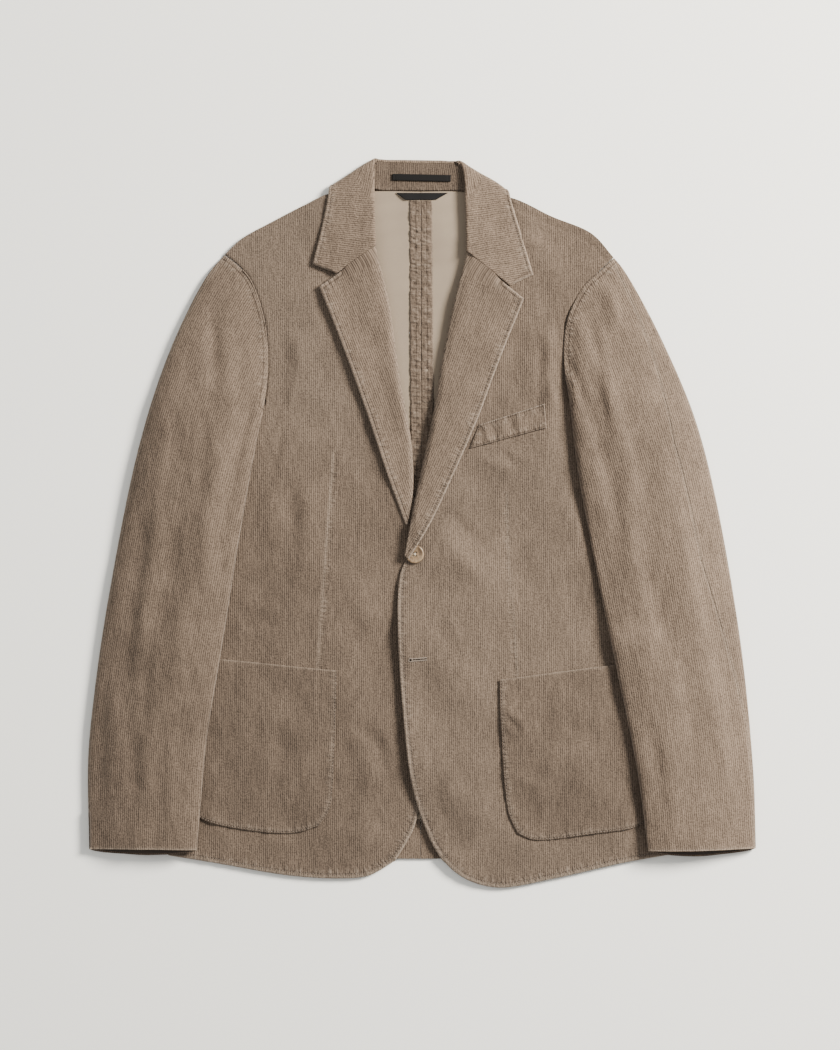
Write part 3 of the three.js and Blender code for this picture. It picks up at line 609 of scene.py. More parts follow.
def front_relief(name, x, y):
    """Narrow folds, the dart's groove and the unevenness of washed cloth."""
    reach = ramp(rise_share(x, y), 0, 0.25)
    relief = 1.7 * fold_relief(x, y, front_folds[name]) * reach
    away, along, _ = near_line(x, y, smooth_points(darts[name], 8))
    pucker = 1 + 0.5 * waves(along, 0.4 * away, 9, 15)
    relief += 0.3 * bell(away, 7.0) * pucker - 0.9 * bell(away, 1.5)
    uneven = 1.3 * waves(x, y * 0.7, 95, 11) + 0.45 * waves(x, y * 0.6, 38, 12)
    uneven = uneven + 0.15 * waves(x, y * 0.6, 17, 13)
    return relief + uneven * reach


def bottom_of_right_front(x, y):
    near_centre = 1 - 0.5 * ramp(x, -80, 0)
    share = rise_share(x, y)
    rise = (FRONT_RISE * near_centre + wide_relief(x, y)) * share
    relief = front_relief("right", x, y) * (1 - 0.7 * ramp(x, -30, 0))
    height = top_of_back(x, y) + LAYER_GAP + rise + relief
    return np.maximum(height, top_of_back(x, y) + CLEARANCE)


def top_of_right_front(x, y):
    return bottom_of_right_front(x, y) + FRONT_CLOTH


def bottom_of_left_front(x, y):
    rise = (FRONT_RISE + wide_relief(x, y)) * rise_share(x, y)
    alone = top_of_back(x, y) + LAYER_GAP + rise
    space = BUTTON_SPACE * ramp(y, -330, -220) * (1 - ramp(y, -122, -72))
    over = top_of_right_front(x, y) + LAYER_GAP + space
    away, _ = nearest_edge(x, y, front_edges["left"])
    lifted = EDGE_LIFT * ramp(away, 26, 0) * ramp(y, -350, -280) * (1 - ramp(y, -75, -45))
    height = mix(over, alone, ramp(x, 24, 85)) + front_relief("left", x, y) + lifted
    below = np.where(x < 26, top_of_right_front(x, y), top_of_back(x, y))
    return np.maximum(height, below + CLEARANCE)


def top_of_left_front(x, y):
    return bottom_of_left_front(x, y) + FRONT_CLOTH


bottom_of = {"left": bottom_of_left_front, "right": bottom_of_right_front}
top_of = {"left": top_of_left_front, "right": top_of_right_front}


thread, shader, twist = mottled(
    "sewing thread", 2500.0, 2.0, (0.17, 0.13, 0.095), (0.27, 0.21, 0.16),
    0.6, 0.3, (1.0, 0.95, 0.88, 1), 0.4)
tree = thread.node_tree
bumped(tree, 0.5, calc(tree, "MULTIPLY", twist, 0.0001), shader.inputs["Normal"])


def thread_bars(name, starts, ends, radius, face):
    """Short lengths of thread between pairs of points in millimetres, joined into one piece."""
    bars = bmesh.new()
    for start, end in zip(starts, ends):
        start, end = Vector(start) * MM, Vector(end) * MM
        turn = (end - start).to_track_quat("X", "Z").to_matrix().to_4x4()
        size = Matrix.Diagonal(((end - start).length * HALF_A_THREAD, radius * MM, radius * MM, 1))
        bmesh.ops.create_icosphere(
            bars, subdivisions=1, radius=1, matrix=Matrix.Translation((start + end) / 2) @ turn @ size)
    mesh = mesh_of(name, bars)
    mesh.shade_smooth()
    mesh.materials.append(face)
    piece = placed(name, mesh)
    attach(piece, "root")


def topstitch(name, points, line, inset, side):
    """A row of stitches beside a line, on the cloth of a grid; side 1 is to the line's left."""
    plan = np.array(line, float)[:, :2]
    away = np.gradient(plan, axis=0)
    away = np.column_stack([-away[:, 1], away[:, 0]]) / np.linalg.norm(away, axis=1)[:, None]
    plan = plan + side * inset * away
    run = run_of(plan)
    cloth = points.reshape(-1, 3)
    ends = []
    for shift in STITCH_ENDS:
        place = np.arange(FIRST_STITCH, run[-1] - LAST_STITCH, STITCH_PITCH) + shift
        at = np.column_stack([np.interp(place, run, axis) for axis in plan.T])
        apart = ((at[:, None] - cloth[None, :, :2]) ** 2).sum(axis=2)
        nearest = np.argsort(apart, axis=1)[:, :4]
        weight = 1 / (np.take_along_axis(apart, nearest, axis=1) + 0.05)
        height = (cloth[nearest, 2] * weight).sum(axis=1) / weight.sum(axis=1)
        ends.append(np.column_stack([at, height + STITCH_RISE]))
    thread_bars(name, *ends, STITCH_RADIUS, thread)


def edge_round(side_edge, foot):
    """One run of a finished edge: down a side and on along the foot."""
    return np.vstack([smooth_points(side_edge, 10)[::-1], smooth_points(foot, 10)[1:]])


def through_dart(name, near, far, across):
    """Shifts a front's columns a little, so that one of them runs down its dart."""
    dart = smooth_points(darts[name], 8)[::-1]
    y = 0.5 * (near[:, 1] + far[:, 1])
    wanted = (np.interp(y, dart[:, 1], dart[:, 0]) - near[:, 0]) / (far[:, 0] - near[:, 0])
    column = across[np.argmin(np.abs(across - np.median(wanted)))]
    return across + (wanted - column)[:, None] * np.maximum(0, 1 - np.abs(across - column) / 0.3)


front_face = {name: corduroy(f"{name} front corduroy", 0.94) for name in SIDES}
for name, side in SIDES.items():
    joined = jointed_line(
        (11 / 24, front_edges[name]), (22 / 24, roll_lines[name]), (1, neck_edges[name]))
    start = roll_starts[name]

    def near(shares):
        points = joined(shares)
        rolled = ramp(points[..., 1], start - 25, start + 5) * (1 - ramp(points[..., 1], 310, 346))
        points[..., 0] += side * ROLL_INSET * rolled
        return points

    far = jointed_line((0.5, side_seams[name]), (16 / 24, underarms[name]), (1, armholes[name]))
    along = shares_to_edge(FRONT_ROWS, FRONT_LENGTH)
    across = through_dart(name, near(along), far(along), shares_to_edge(FRONT_COLUMNS, FRONT_WIDTH))
    plan = panel_plan(near, far, along_line(hems[name]), along_line(shoulders[name]), across, along)
    x, y = plan[..., 0], plan[..., 1]
    distance, place = nearest_edge(x, y, front_edges[name], hems[name])
    dart_away, dart_along, _ = near_line(x, y, smooth_points(darts[name], 8))
    open_edge = 1 - ramp(y, start - 12, start + 4) * (np.abs(x) < 120)
    height = top_of[name](x, y)
    height = height + edge_relief(distance, place, STITCH_IN, 3) * open_edge
    height = height - rounded_edge(distance, FRONT_CLOTH) * open_edge
    seam_away, seam_along = nearest_edge(x, y, shoulders[name])
    seam_groove = 0.9 * bell(seam_away - 9, 1.5) * (1 + 0.4 * np.sin(seam_along / 2.4))
    height = height - seam_groove
    side_away, _ = nearest_edge(x, y, side_seams[name], underarms[name], armholes[name])
    height = height - rounded_edge(side_away, FRONT_CLOTH, 3.0)
    # Painted light and shade: the left front is made lighter below its chest, leaving its upper part by
    # the sleeve darker as in shade, and the right front lighter over its upper chest, as where light
    # falls. They join the edge and dart wear.
    painted_light_and_shade = {"left": 0.08 * (1 - ramp(y, 40, 180)), "right": 0.16 * ramp(y, 0, 170)}[name]
    rub = painted_light_and_shade + 0.95 * bell(distance, 3.2) * open_edge
    rub = np.maximum(rub, 0.5 * bell(side * dart_away - 2.2, 1.3))
    stitched = np.minimum(np.where(open_edge > 0.5, distance, 900), STITCH_IN + 1.5 * np.abs(dart_away))
    stitched_along = np.where(np.abs(dart_away) < 20, dart_along, place)
    front = cloth_piece(
        f"front_{name}_cloth", np.dstack([x, y, height]), FRONT_WALL, x, y, side,
        (stitched, stitched_along), rub)
    front.data.materials.append(front_face[name])
    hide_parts(f"front_{name}")
    finished = edge_round(front_edges[name], hems[name])
    topstitch(f"front_{name}_stitches", np.dstack([x, y, height]), finished, STITCH_IN, side)

# Sleeves: a top sleeve and an under sleeve of corduroy, seamed along the arm on both sides.
# Each is set into its armhole by one seam, stands a little full, and is hemmed inside its open cuff.
SLEEVE_EDGE = 5.0
TOP_ROUNDNESS = 2.4
UNDERSIDE_ROUNDNESS = 4.5
CUFF_LIP_DROP = 7.0
CUFF_HEM_ROWS = 3
SLEEVE_SEAM_INSET = 0.15
ARMHOLE_INSET = 0.35
FIRST_ROW = 1.5
SLEEVE_CLOTH = 1.6
POCKET_STACK = 3.65
SLEEVE_GAP = 0.6
ARMPIT_X, ARMPIT_Y = 160, 131
SIDE_X, SIDE_Y, SIDE_LEAN = 250, 98, 0.0552
SLEEVE_ROWS, SLEEVE_LENGTH = 220, 640
TOP_COLUMNS, OVER_COLUMNS, BENEATH_COLUMNS = 81, 15, 46

sleeve_inners = {
    "left": [(159, 131), (167, 62), (183, -28), (206, -142), (231, -264), (243, -352)],
    "right": [(-170, 128), (-179, 84), (-196, -11), (-217, -143), (-231, -228), (-238, -302),
              (-242, -351)],
}
sleeve_outers = {
    "left": [(207, 287), (218, 273), (260, 195), (300, 95), (340, -104), (357, -264), (360, -350)],
    "right": [(-213, 290), (-232, 267), (-272, 186), (-305, 84), (-340, -91), (-354, -188),
              (-360, -253), (-359, -351)],
}
cuffs = {
    "left": [(243, -352), (292, -351.5), (360, -350)],
    "right": [(-242, -351), (-300, -350), (-359, -351)],
}
height_shares = (0, 0.05, 0.14, 0.35, 0.6, 0.88, 1)
sleeve_heights = (4.6, 11, 17, 19, 17, 14.5, 13)
# Wide folds at shares of the sleeve's length and width: from, to, their places across, width, height
wide_sleeve_folds = {
    "left": [
        (0.02, 0.3, 0.55, 0.42, 13, 2.6), (0.05, 0.34, 0.3, 0.24, 11, -2.4),
        (0.3, 0.78, 0.66, 0.7, 14, 2.2), (0.42, 0.86, 0.45, 0.5, 13, -1.8),
        (0.6, 0.98, 0.22, 0.26, 12, 1.8),
    ],
    "right": [
        (0.1, 0.4, 0.2, 0.12, 12, -2.6), (0.2, 0.7, 0.3, 0.36, 14, 2.6), (0.3, 0.72, 0.58, 0.52, 13, -1.8),
        (0.5, 0.96, 0.7, 0.74, 14, 2.0), (0.66, 0.98, 0.4, 0.34, 12, -1.6),
    ],
}
sleeve_folds = {
    "left": [
        (196, 266, 204, 240, 214, 206, 6, 10, 1.6), (180, 230, 186, 190, 192, 140, 198, 90, 6, 12, -1.6),
        (222, 240, 232, 200, 244, 150, 250, 100, 9, 14, 1.4),
        (205, 60, 216, 0, 232, -70, 246, -130, 9, 15, 1.3), (232, -20, 250, -90, 262, -160, 8, 10, -1.2),
        (262, -120, 276, -200, 286, -280, 9, 16, 1.4), (240, -200, 254, -270, 262, -330, 7, 10, -1.2),
        (312, -150, 322, -220, 326, -300, 8, 12, 1.2), (300, -60, 318, -130, 8, 8, -0.9),
    ],
    "right": [
        (-226, 252, -225, 200, -222, 134, 9, 6, -1.8), (-212, 220, -208, 170, -210, 120, 8, 12, 1.3),
        (-214, 160, -224, 60, -232, -60, -240, -160, 15, 9, 1.7),
        (-262, 130, -270, 60, -280, -10, 10, 7, -1.3),
        (-292, 40, -306, -60, -316, -150, -314, -240, 8, 12, -1.7),
        (-276, -80, -284, -170, -290, -270, 14, 9, 1.4), (-330, -150, -336, -230, -338, -310, 10, 7, 1.3),
        (-256, -200, -262, -260, -262, -330, 10, 7, -1.0),
        (-284, -39, -254, -120, -228, -195, 10, 14, 1.1), (-310, -221, -306, -299, 8, 8, -1.1),
    ],
}
hindarm_across = {
    "left": ((0, 0.16, 0.3, 0.5, 0.66, 0.8, 1), (0.97, 0.9, 0.8, 0.79, 0.88, 0.97, 0.985)),
    "right": ((0, 1), (0.985, 0.985)),
}


def lift_of_sleeve(name, x, y, slope):
    """What a sleeve lies on: the floor outside the body, and the stack of panels inside its edge."""
    toward_side = np.clip((np.abs(x) - ARMPIT_X) / (SIDE_X - ARMPIT_X), 0, 1)
    above_arm = y - mix(ARMPIT_Y, SIDE_Y, toward_side)
    side_x = SIDE_X + (SIDE_Y - y) * SIDE_LEAN
    below = 1 - ramp(above_arm, 14, 14 + slope)
    inside = 1 - ramp(np.abs(x) - side_x, 19, 19 + slope)
    pocket = POCKET_STACK * (1 - ramp(y, -132, -100))
    stack = top_of[name](x, np.minimum(y, ARMPIT_Y)) + pocket + SLEEVE_GAP
    return stack * below * inside


def dense_at_ends(count):
    """Shares from 0 to 1 that lie closer together towards both ends."""
    return 0.5 - 0.5 * np.cos(np.linspace(0, math.pi, count))


def sleeve_points(name, share, across, upper):
    """Points of a sleeve's ring, at shares of its length and of its width, over or under it."""
    ends = np.array([0.0, 1.0])
    near, far = along_line(sleeve_inners[name]), along_line(sleeve_outers[name])
    arm, cuff = along_line(armholes[name]), along_line(cuffs[name])
    down, wide = np.broadcast_arrays(share, across)
    plan = mix(near(down), far(down), wide[..., None])
    for line, end, reach in ((arm, 0, (1 - down) ** 6), (cuff, 1, down**6)):
        chord = mix(near(ends)[end], far(ends)[end], wide[..., None])
        plan = plan + (line(wide) - chord) * reach[..., None]
    width = np.linalg.norm(near(down) - far(down), axis=-1)
    x, y = plan[..., 0], plan[..., 1]
    roundness = np.where(upper, TOP_ROUNDNESS, UNDERSIDE_ROUNDNESS)
    fullness = np.maximum(0, 1 - np.abs(2 * wide - 1) ** roundness) ** (1 / roundness)
    under = lift_of_sleeve(name, x, y, 34)
    height = np.interp(down, height_shares, sleeve_heights)
    edge = np.minimum(SLEEVE_EDGE, height * 0.45)
    over = lift_of_sleeve(name, x, y, 62)
    fold = np.zeros(x.shape)
    for start, end, first, last, spread, rise in wide_sleeve_folds[name]:
        centre = mix(first, last, np.clip((down - start) / (end - start), 0, 1))
        fade = ramp(down, start - 0.08, start + 0.02) * (1 - ramp(down, end - 0.02, end + 0.08))
        fold += rise * fade * bell((wide - centre) * width, spread)
    fold += 1.6 * fold_relief(x, y, sleeve_folds[name])
    uneven = 1.4 * waves(x, y * 0.5, 80, 21) + 0.4 * waves(x, y * 0.5, 34, 22)
    fold += uneven + 0.12 * waves(x, y * 0.6, 15, 23)
    top = mix(under, over, fullness) + edge + (height - edge) * fullness + fold * fullness
    bottom = under + edge - edge * fullness
    drop = CUFF_LIP_DROP * np.sin(math.pi * np.clip(wide, 0, 1)) ** 0.55 * ramp(down, 0.965, 1)
    lip = np.where(upper, 0, drop)
    return np.stack([x, y - lip, np.where(upper, top, bottom)], axis=-1)


# A lining inside the sleeves, its colour painted very dark as the shade inside the cuffs.
lining = inside_cloth("sleeve lining painted dark as shade", (0.06, 0.045, 0.034))
sleeve_face = {
    "left": corduroy("left sleeve corduroy", 1.16),
    "right": corduroy("right sleeve corduroy", 1.0),
}
for name, side in SIDES.items():
    along = shares_to_edge(SLEEVE_ROWS, SLEEVE_LENGTH)
    along = along[(along == 0) | (along > FIRST_ROW / SLEEVE_LENGTH)][:, None]
    seam = np.interp(along, *hindarm_across[name])
    top_across = 0.35 * np.linspace(0, 1, TOP_COLUMNS) + 0.65 * dense_at_ends(TOP_COLUMNS)
    pieces = {"top": sleeve_points(name, along, top_across[None] * seam, True)}
    over = sleeve_points(name, along, mix(seam, 1, np.linspace(0, 1, OVER_COLUMNS)[None, :-1]), True)
    beneath = sleeve_points(name, along, 1 - dense_at_ends(BENEATH_COLUMNS)[None], False)
    pieces["under"] = np.concatenate([over, beneath], axis=1)
    steps = np.linspace(0, 1, 40)
    middle = 0.5 * (along_line(sleeve_inners[name])(steps) + along_line(sleeve_outers[name])(steps))
    middle = np.vstack([middle[0] * 6 - middle[1] * 5, middle, middle[-1] * 6 - middle[-2] * 5])
    for kind, points in pieces.items():
        points = drawn_in(points, SLEEVE_SEAM_INSET)
        away = points[1] - points[0]
        points[0] += away / np.linalg.norm(away, axis=-1, keepdims=True) * ARMHOLE_INSET
        away, run, _ = near_line(points[..., 0], points[..., 1], middle)
        cuff_distance, cuff_along = nearest_edge(points[..., 0], points[..., 1], cuffs[name])
        arm_distance, arm_along = nearest_edge(points[..., 0], points[..., 1], armholes[name])
        edge_distance = np.minimum(cuff_distance + 12, arm_distance)
        wear = 0.8 * bell(cuff_distance, 1.8) + 0.25 * bell(arm_distance, 3)
        steps = np.linalg.norm(np.diff(points, axis=1), axis=-1)
        from_seam = np.concatenate([np.zeros((len(steps), 1)), np.cumsum(steps, axis=1)], axis=1)
        from_seam = np.minimum(from_seam, from_seam[:, -1:] - from_seam)
        wear = wear + 0.42 * bell(from_seam, 1.6)
        piece = cloth_piece(
            f"sleeve_{kind}_{name}_cloth", points, SLEEVE_CLOTH, away, run, -side,
            (edge_distance, cuff_along + arm_along), wear, CUFF_HEM_ROWS)
        piece.data.materials.append(sleeve_face[name])
        piece.data.materials.append(lining)
        piece.data.materials.append(sleeve_face[name])
        piece.modifiers["cloth wall"].material_offset = 1
        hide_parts(f"sleeve_{kind}_{name}")

# Lapels: the facing of each front, turned out over the front's edge along the roll line.
# The facing is corduroy as well, stitched near its outer edge, with a notch against the collar.
LAPEL_CLOTH = 2.0
FACED_CLOTH = 2.4
LAPEL_CROWN = 2.4
ROLL_WIDTH = 5.2
FULL_LAPEL_WIDTH = 14
BUTTON_THICKNESS = 2.6
LAPEL_LIFT = {"left": 1.2, "right": 3.6}
LAPEL_STITCH_IN = 4.2
GORGE_REACH = 1.2
LAPEL_ROWS, LAPEL_LENGTH, LAPEL_COLUMNS = 150, 330, 46

lapel_rolls = {
    "left": [(-19, -35), (-8, 24), (11, 113), (21, 173), (35, 241), (48, 291.5)],
    "right": [(-15.2, -1), (-11.5, 20), (-9.5, 38), (-11, 84), (-24, 159), (-36, 241), (-50, 297.5)],
}
lapel_edges = {
    "left": [(-14, -38), (9, 0), (33, 51), (60, 113), (83, 175), (110, 242)],
    "right": [(-18, -1), (-35, 45), (-59, 117), (-82, 181), (-93, 210), (-111, 255)],
}
# The rolled edge in section: in from the roll and up, where it lies flat and where it curls over
roll_section = [(0.3, 0.5, 0.4, 0.2), (0, 1.4, 0, 2.6), (0.8, 2.2, 1.2, 4.9)]

lapel_face = {
    "left": corduroy("left lapel corduroy", 1.0, LAPEL_STITCH_IN),
    "right": corduroy("right lapel corduroy", 1.1, LAPEL_STITCH_IN),
}
for name, side in SIDES.items():
    shares = shares_to_edge(LAPEL_ROWS, LAPEL_LENGTH)
    start, end = along_line(lapel_rolls[name])(shares), along_line(lapel_edges[name])(shares)
    width = np.linalg.norm(end - start, axis=-1)
    scale = np.minimum(1, width / FULL_LAPEL_WIDTH)
    curl = ramp(start[:, 1], roll_starts[name] + 28, roll_starts[name] + 48)
    over_button = 1 - ramp(start[:, 1], -12, 30) if name == "left" else 0.0 * curl

    def lapel_at(distance):
        return mix(start, end, (distance / width)[:, None])

    def lapel_rest(point, distance):
        share = distance / width
        crown = ramp(share, 0, 0.14) * (1 - ramp(share, 0.2, 0.9)) * ramp(width, 10, 40)
        lifted = (BUTTON_THICKNESS + 0.8) * over_button
        lifted = lifted + LAPEL_LIFT[name] * ramp(share, 0.35, 1) * ramp(width, 12, 45)
        return top_of[name](point[:, 0], point[:, 1]) + LAYER_GAP + lifted + LAPEL_CROWN * crown

    sections = []
    for flat_in, flat_up, curled_in, curled_up in roll_section:
        distance = mix(flat_in, curled_in, curl) * scale
        point = lapel_at(distance)
        curled = bottom_of[name](point[:, 0], point[:, 1]) + curled_up
        height = mix(lapel_rest(point, distance) + flat_up, curled, curl)
        sections.append(np.column_stack([point, height]))
    for share in np.linspace(0, 1, LAPEL_COLUMNS):
        distance = mix(ROLL_WIDTH * scale, width, share)
        point = lapel_at(distance)
        sections.append(np.column_stack([point, lapel_rest(point, distance) + FACED_CLOTH]))
    rolled = smooth_points(np.array(sections[:5]).reshape(5, -1), 5).reshape(-1, len(shares), 3)
    points = np.concatenate([rolled, np.array(sections[5:])]).transpose(1, 0, 2)
    gorge = 1 - ramp(np.linspace(0, 1, points.shape[1]), 0.6, 0.68)
    gorge = gorge * (1 + np.linspace(0, 1, points.shape[1]))
    points[..., 1] += GORGE_REACH * gorge * ramp(shares, 0.97, 1)[:, None]
    points[..., 2] += 0.6 * gorge * ramp(shares, 0.9, 1)[:, None]
    roll_top, edge_top = np.array(lapel_rolls[name][-1]), np.array(lapel_edges[name][-1])
    x, y = points[..., 0], points[..., 1]
    distance, place = nearest_edge(x, y, lapel_edges[name], [mix(roll_top, edge_top, 0.66), edge_top])
    relief = edge_relief(distance, place, LAPEL_STITCH_IN, 5) * ramp(np.abs(x - start[:, None, 0]), 4, 12)
    relief = relief + 0.5 * waves(x, y, 46, 27) * ramp(np.abs(x - start[:, None, 0]), 8, 24)
    points[..., 2] += relief - rounded_edge(distance, FACED_CLOTH)
    grain, run, _ = near_line(x, y, smooth_points(lapel_edges[name], 8))
    roll_distance, _ = nearest_edge(x, y, lapel_rolls[name])
    rub = 0.8 * bell(distance, 1.8) + 0.35 * bell(roll_distance, 3)
    lapel = cloth_piece(
        f"lapel_{name}_cloth", points, LAPEL_CLOTH, grain, run, side, (distance, place), rub)
    lapel.data.materials.append(lapel_face[name])
    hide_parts(f"lapel_{name}")
    finished = smooth_points(lapel_edges[name], 12)[4:]
    topstitch(f"lapel_{name}_stitches", points, finished, LAPEL_STITCH_IN, side)

# Collar: the outer collar of corduroy, folded over its stand and lying on the fronts and lapels.
# It runs from one notch behind the neck to the other, and is stitched near its outer edge.
COLLAR_CLOTH = 2.0
COLLAR_ROWS = 271
COLLAR_COLUMNS, COLLAR_WIDTH = 44, 60
FOLD_WIDTH = 5
# One section a row, right notch to left: the inner fold, then the outer edge
collar_sections = np.array([
    (-50.6, 299, 12.6, -118, 279, 8.8), (-52, 330, 12.8, -108, 320, 9.0),
    (-52.5, 362, 12.4, -103, 343, 9.2), (-52.5, 381, 11.2, -101, 354, 8.8),
    (-52, 390.5, 8.6, -100.3, 360.5, 7.0), (-50.5, 393.5, 4.4, -99.5, 363, 4.0),
    (-47.5, 392.5, 1.5, -95, 359.5, 1.2), (-40, 391.5, 1.0, -74, 350, 1.0),
    (-20, 391.2, 1.0, -30, 348, 1.0), (5, 390.8, 1.0, 5, 348, 1.0),
    (22, 390.5, 1.0, 34, 348, 1.0), (30, 390, 1.0, 68, 350, 1.0),
    (36.5, 390.5, 1.5, 87, 355.5, 1.2), (40, 391, 4.4, 92.5, 359, 4.0),
    (43, 388, 8.6, 94, 357, 7.0), (46, 375, 11.2, 95.5, 350, 8.8),
    (47.5, 350, 12.4, 99, 338, 9.2), (48.5, 320, 12.8, 106, 315, 9.0),
    (48.6, 292.6, 12.6, 120, 268, 8.8),
])
# The inner fold turns under towards the stand: along the section, and towards the stand
collar_fold = [(2.2, 2.8), (0.4, 2.3), (-0.3, 1.1), (1.0, 0.15), (FOLD_WIDTH, 0)]
notch_start, notch_end, notch_across, notch_reach = (3.5, -16.4), (-1.5, -20.2), 2 / 3, 0.14


def strip_rows(sections, rows):
    """The two ends of each section of a strip, smoothed along it."""
    spans = len(sections) - 1
    smooth = smooth_points(sections[:, :3], 24), smooth_points(sections[:, 3:], 24)
    wanted = np.linspace(0, spans * 24, rows)
    return [np.stack([np.interp(wanted, np.arange(spans * 24 + 1), axis) for axis in line.T], axis=-1)
            for line in smooth]


def grid_normals(points):
    across = np.gradient(points, axis=1)
    along = np.gradient(points, axis=0)
    normal = np.cross(across, along)
    return normal / np.maximum(np.linalg.norm(normal, axis=-1, keepdims=True), 1e-9)


rows = COLLAR_ROWS
start, end = strip_rows(collar_sections, rows)
length = np.linalg.norm(end - start, axis=-1)
share_along = np.linspace(0, 1, rows)
from_start = 1 - ramp(share_along, 0, notch_reach)
from_end = ramp(share_along, 1 - notch_reach, 1)


def collar_at(distance):
    share = distance / length
    tent = np.minimum(share / notch_across, (1 - share) / (1 - notch_across))
    point = mix(start, end, share[:, None])
    point[:, 0] += tent * (notch_start[0] * from_start + notch_end[0] * from_end)
    point[:, 1] += tent * (notch_start[1] * from_start + notch_end[1] * from_end)
    return point


leaf = np.array([collar_at(mix(FOLD_WIDTH, length, share))
                 for share in shares_to_edge(COLLAR_COLUMNS, COLLAR_WIDTH)]).transpose(1, 0, 2)
toward_stand = grid_normals(leaf)[:, 0]
fold_keys = [collar_at(np.full(rows, along)) + under * toward_stand for along, under in collar_fold]
fold_keys += [leaf[:, 3], leaf[:, 6]]
turned = smooth_points(np.array(fold_keys).reshape(len(fold_keys), -1), 4)
turned = turned.reshape(-1, rows, 3)[:-8]
middle = np.concatenate([turned, leaf[:, 3:].transpose(1, 0, 2)]).transpose(1, 0, 2)
normal = grid_normals(middle)
edge_line = middle[:, -1]
x, y = middle[..., 0], middle[..., 1]
steps = np.linalg.norm(np.diff(middle, axis=1), axis=-1)
from_edge = np.concatenate([np.cumsum(steps[:, ::-1], axis=1)[:, ::-1], np.zeros((rows, 1))], axis=1)
steps = np.linalg.norm(np.diff(middle[:, -20:], axis=0), axis=-1).mean(axis=1)
along_edge = np.concatenate([[0], np.cumsum(steps)])[:, None] + 0 * from_edge
notch_away = np.minimum(along_edge, along_edge.max() - along_edge)
notch_away = notch_away + 40 * ramp(from_edge / length[:, None], 0.3, 0.38)
distance = np.minimum(from_edge, notch_away)
relief = edge_relief(distance, along_edge, LAPEL_STITCH_IN, 7)
uneven = 0.45 * waves(x, y, 40, 31)
relief = relief + uneven * ramp(from_edge, 4, 15) * ramp(length[:, None] - from_edge, 4, 12)
face = middle - normal * (COLLAR_CLOTH / 2 + relief - rounded_edge(distance, COLLAR_CLOTH))[..., None]
face[..., 2] = np.maximum(face[..., 2], 0.05)
spine = np.array([0.5 * (a + b)[:2] for a, b in zip(start[::9], end[::9])])
spine = np.vstack([spine[0] * 4 - spine[1] * 3, spine, spine[-1] * 4 - spine[-2] * 3])
outward, grain, _ = near_line(x, y, spine)
piece = cloth_piece("collar_fall_cloth", face, COLLAR_CLOTH, grain, outward, -1, (distance, along_edge),
                    0.8 * bell(distance, 1.8))
piece.data.materials.append(corduroy("collar corduroy", 1.2, LAPEL_STITCH_IN))
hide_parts("collar_fall")
for name, finished in (("right", edge_line[:45]), ("left", edge_line[-45:])):
    topstitch(f"collar_{name}_stitches", face, finished, LAPEL_STITCH_IN, -1)

# Collar stand: the band of corduroy inside the collar, sewn to the neck seam and up to the fold.
# It leans out from the seam and rolls over at its top, under the outer collar.
STAND_CLOTH = 1.6
STAND_ROLL = 2.4
STAND_ROWS, STAND_COLUMNS = 181, 26
stand_sections = np.array([
    (-71, 306, 9.4, -58, 306, 9.5), (-71, 335, 9.4, -58, 338, 9.5), (-67, 354, 8.8, -57, 370, 8.4),
    (-56, 360.5, 6.2, -53.5, 386, 6.0), (-42, 359.6, 3.9, -41, 388.4, 3.7),
    (-5, 359.2, 3.8, -5, 388.2, 3.6), (34, 359.2, 3.9, 30, 387.6, 3.7),
    (48, 359, 6.2, 44.5, 385, 6.0), (61, 352, 8.8, 53, 362, 8.4),
    (65, 335, 9.4, 54, 335, 9.5), (65, 302, 9.4, 54, 302, 9.5),
])
start, end = strip_rows(stand_sections, STAND_ROWS)
outward = (end - start) / np.linalg.norm(end - start, axis=-1, keepdims=True)
turned = [end + STAND_ROLL * (outward * math.sin(turn) - (0, 0, 1 - math.cos(turn)))
          for turn in np.radians((15, 30, 45, 60, 75, 85))]
middle = np.array([*(mix(start, end, share) for share in np.linspace(0, 1, STAND_COLUMNS)), *turned])
middle = middle.transpose(1, 0, 2)
x, y = middle[..., 0], middle[..., 1]
height = 0.15 * waves(x, y, 24, 41)
face = middle - grid_normals(middle) * (STAND_CLOTH / 2 + height)[..., None]
run = run_of(middle[:, 14])[:, None] + 0 * x
rise = np.linalg.norm(middle - middle[:, :1], axis=-1)
stand = cloth_piece("collar_stand_cloth", face, STAND_CLOTH, run, rise, -1, (rise + 4, run))
stand.data.materials.append(corduroy("stand corduroy", 0.7, 2.0))
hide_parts("collar_stand")

# Patch pockets: one on each front, of corduroy, with round lower corners and a hemmed mouth.
# Each is stitched to the front round its sides and foot, and stands a little full.
POCKET_CLOTH = 2.0
POCKET_WALL = POCKET_CLOTH - 0.3
POCKET_BULGE = 1.2
POCKET_STITCH_IN = 1.8
POCKET_COLUMNS, POCKET_WIDTH = 84, 165
POCKET_ROWS, POCKET_LENGTH = 90, 175
pocket_inners = {
    "left": [(103, -334), (93, -312), (85, -224), (83, -168)],
    "right": [(-111, -326), (-99, -306), (-94, -248), (-91, -158)],
}
pocket_bottoms = {
    "left": [(103, -334), (120, -341), (182, -335), (236, -325), (249, -312)],
    "right": [(-111, -326), (-142, -334), (-237, -319), (-250, -306)],
}
pocket_outers = {
    "left": [(249, -312), (252, -230), (249, -148)],
    "right": [(-250, -306), (-254, -226), (-251, -144)],
}
pocket_tops = {
    "left": [(83, -168), (208, -152), (249, -148)],
    "right": [(-91, -158), (-217, -146), (-251, -144)],
}
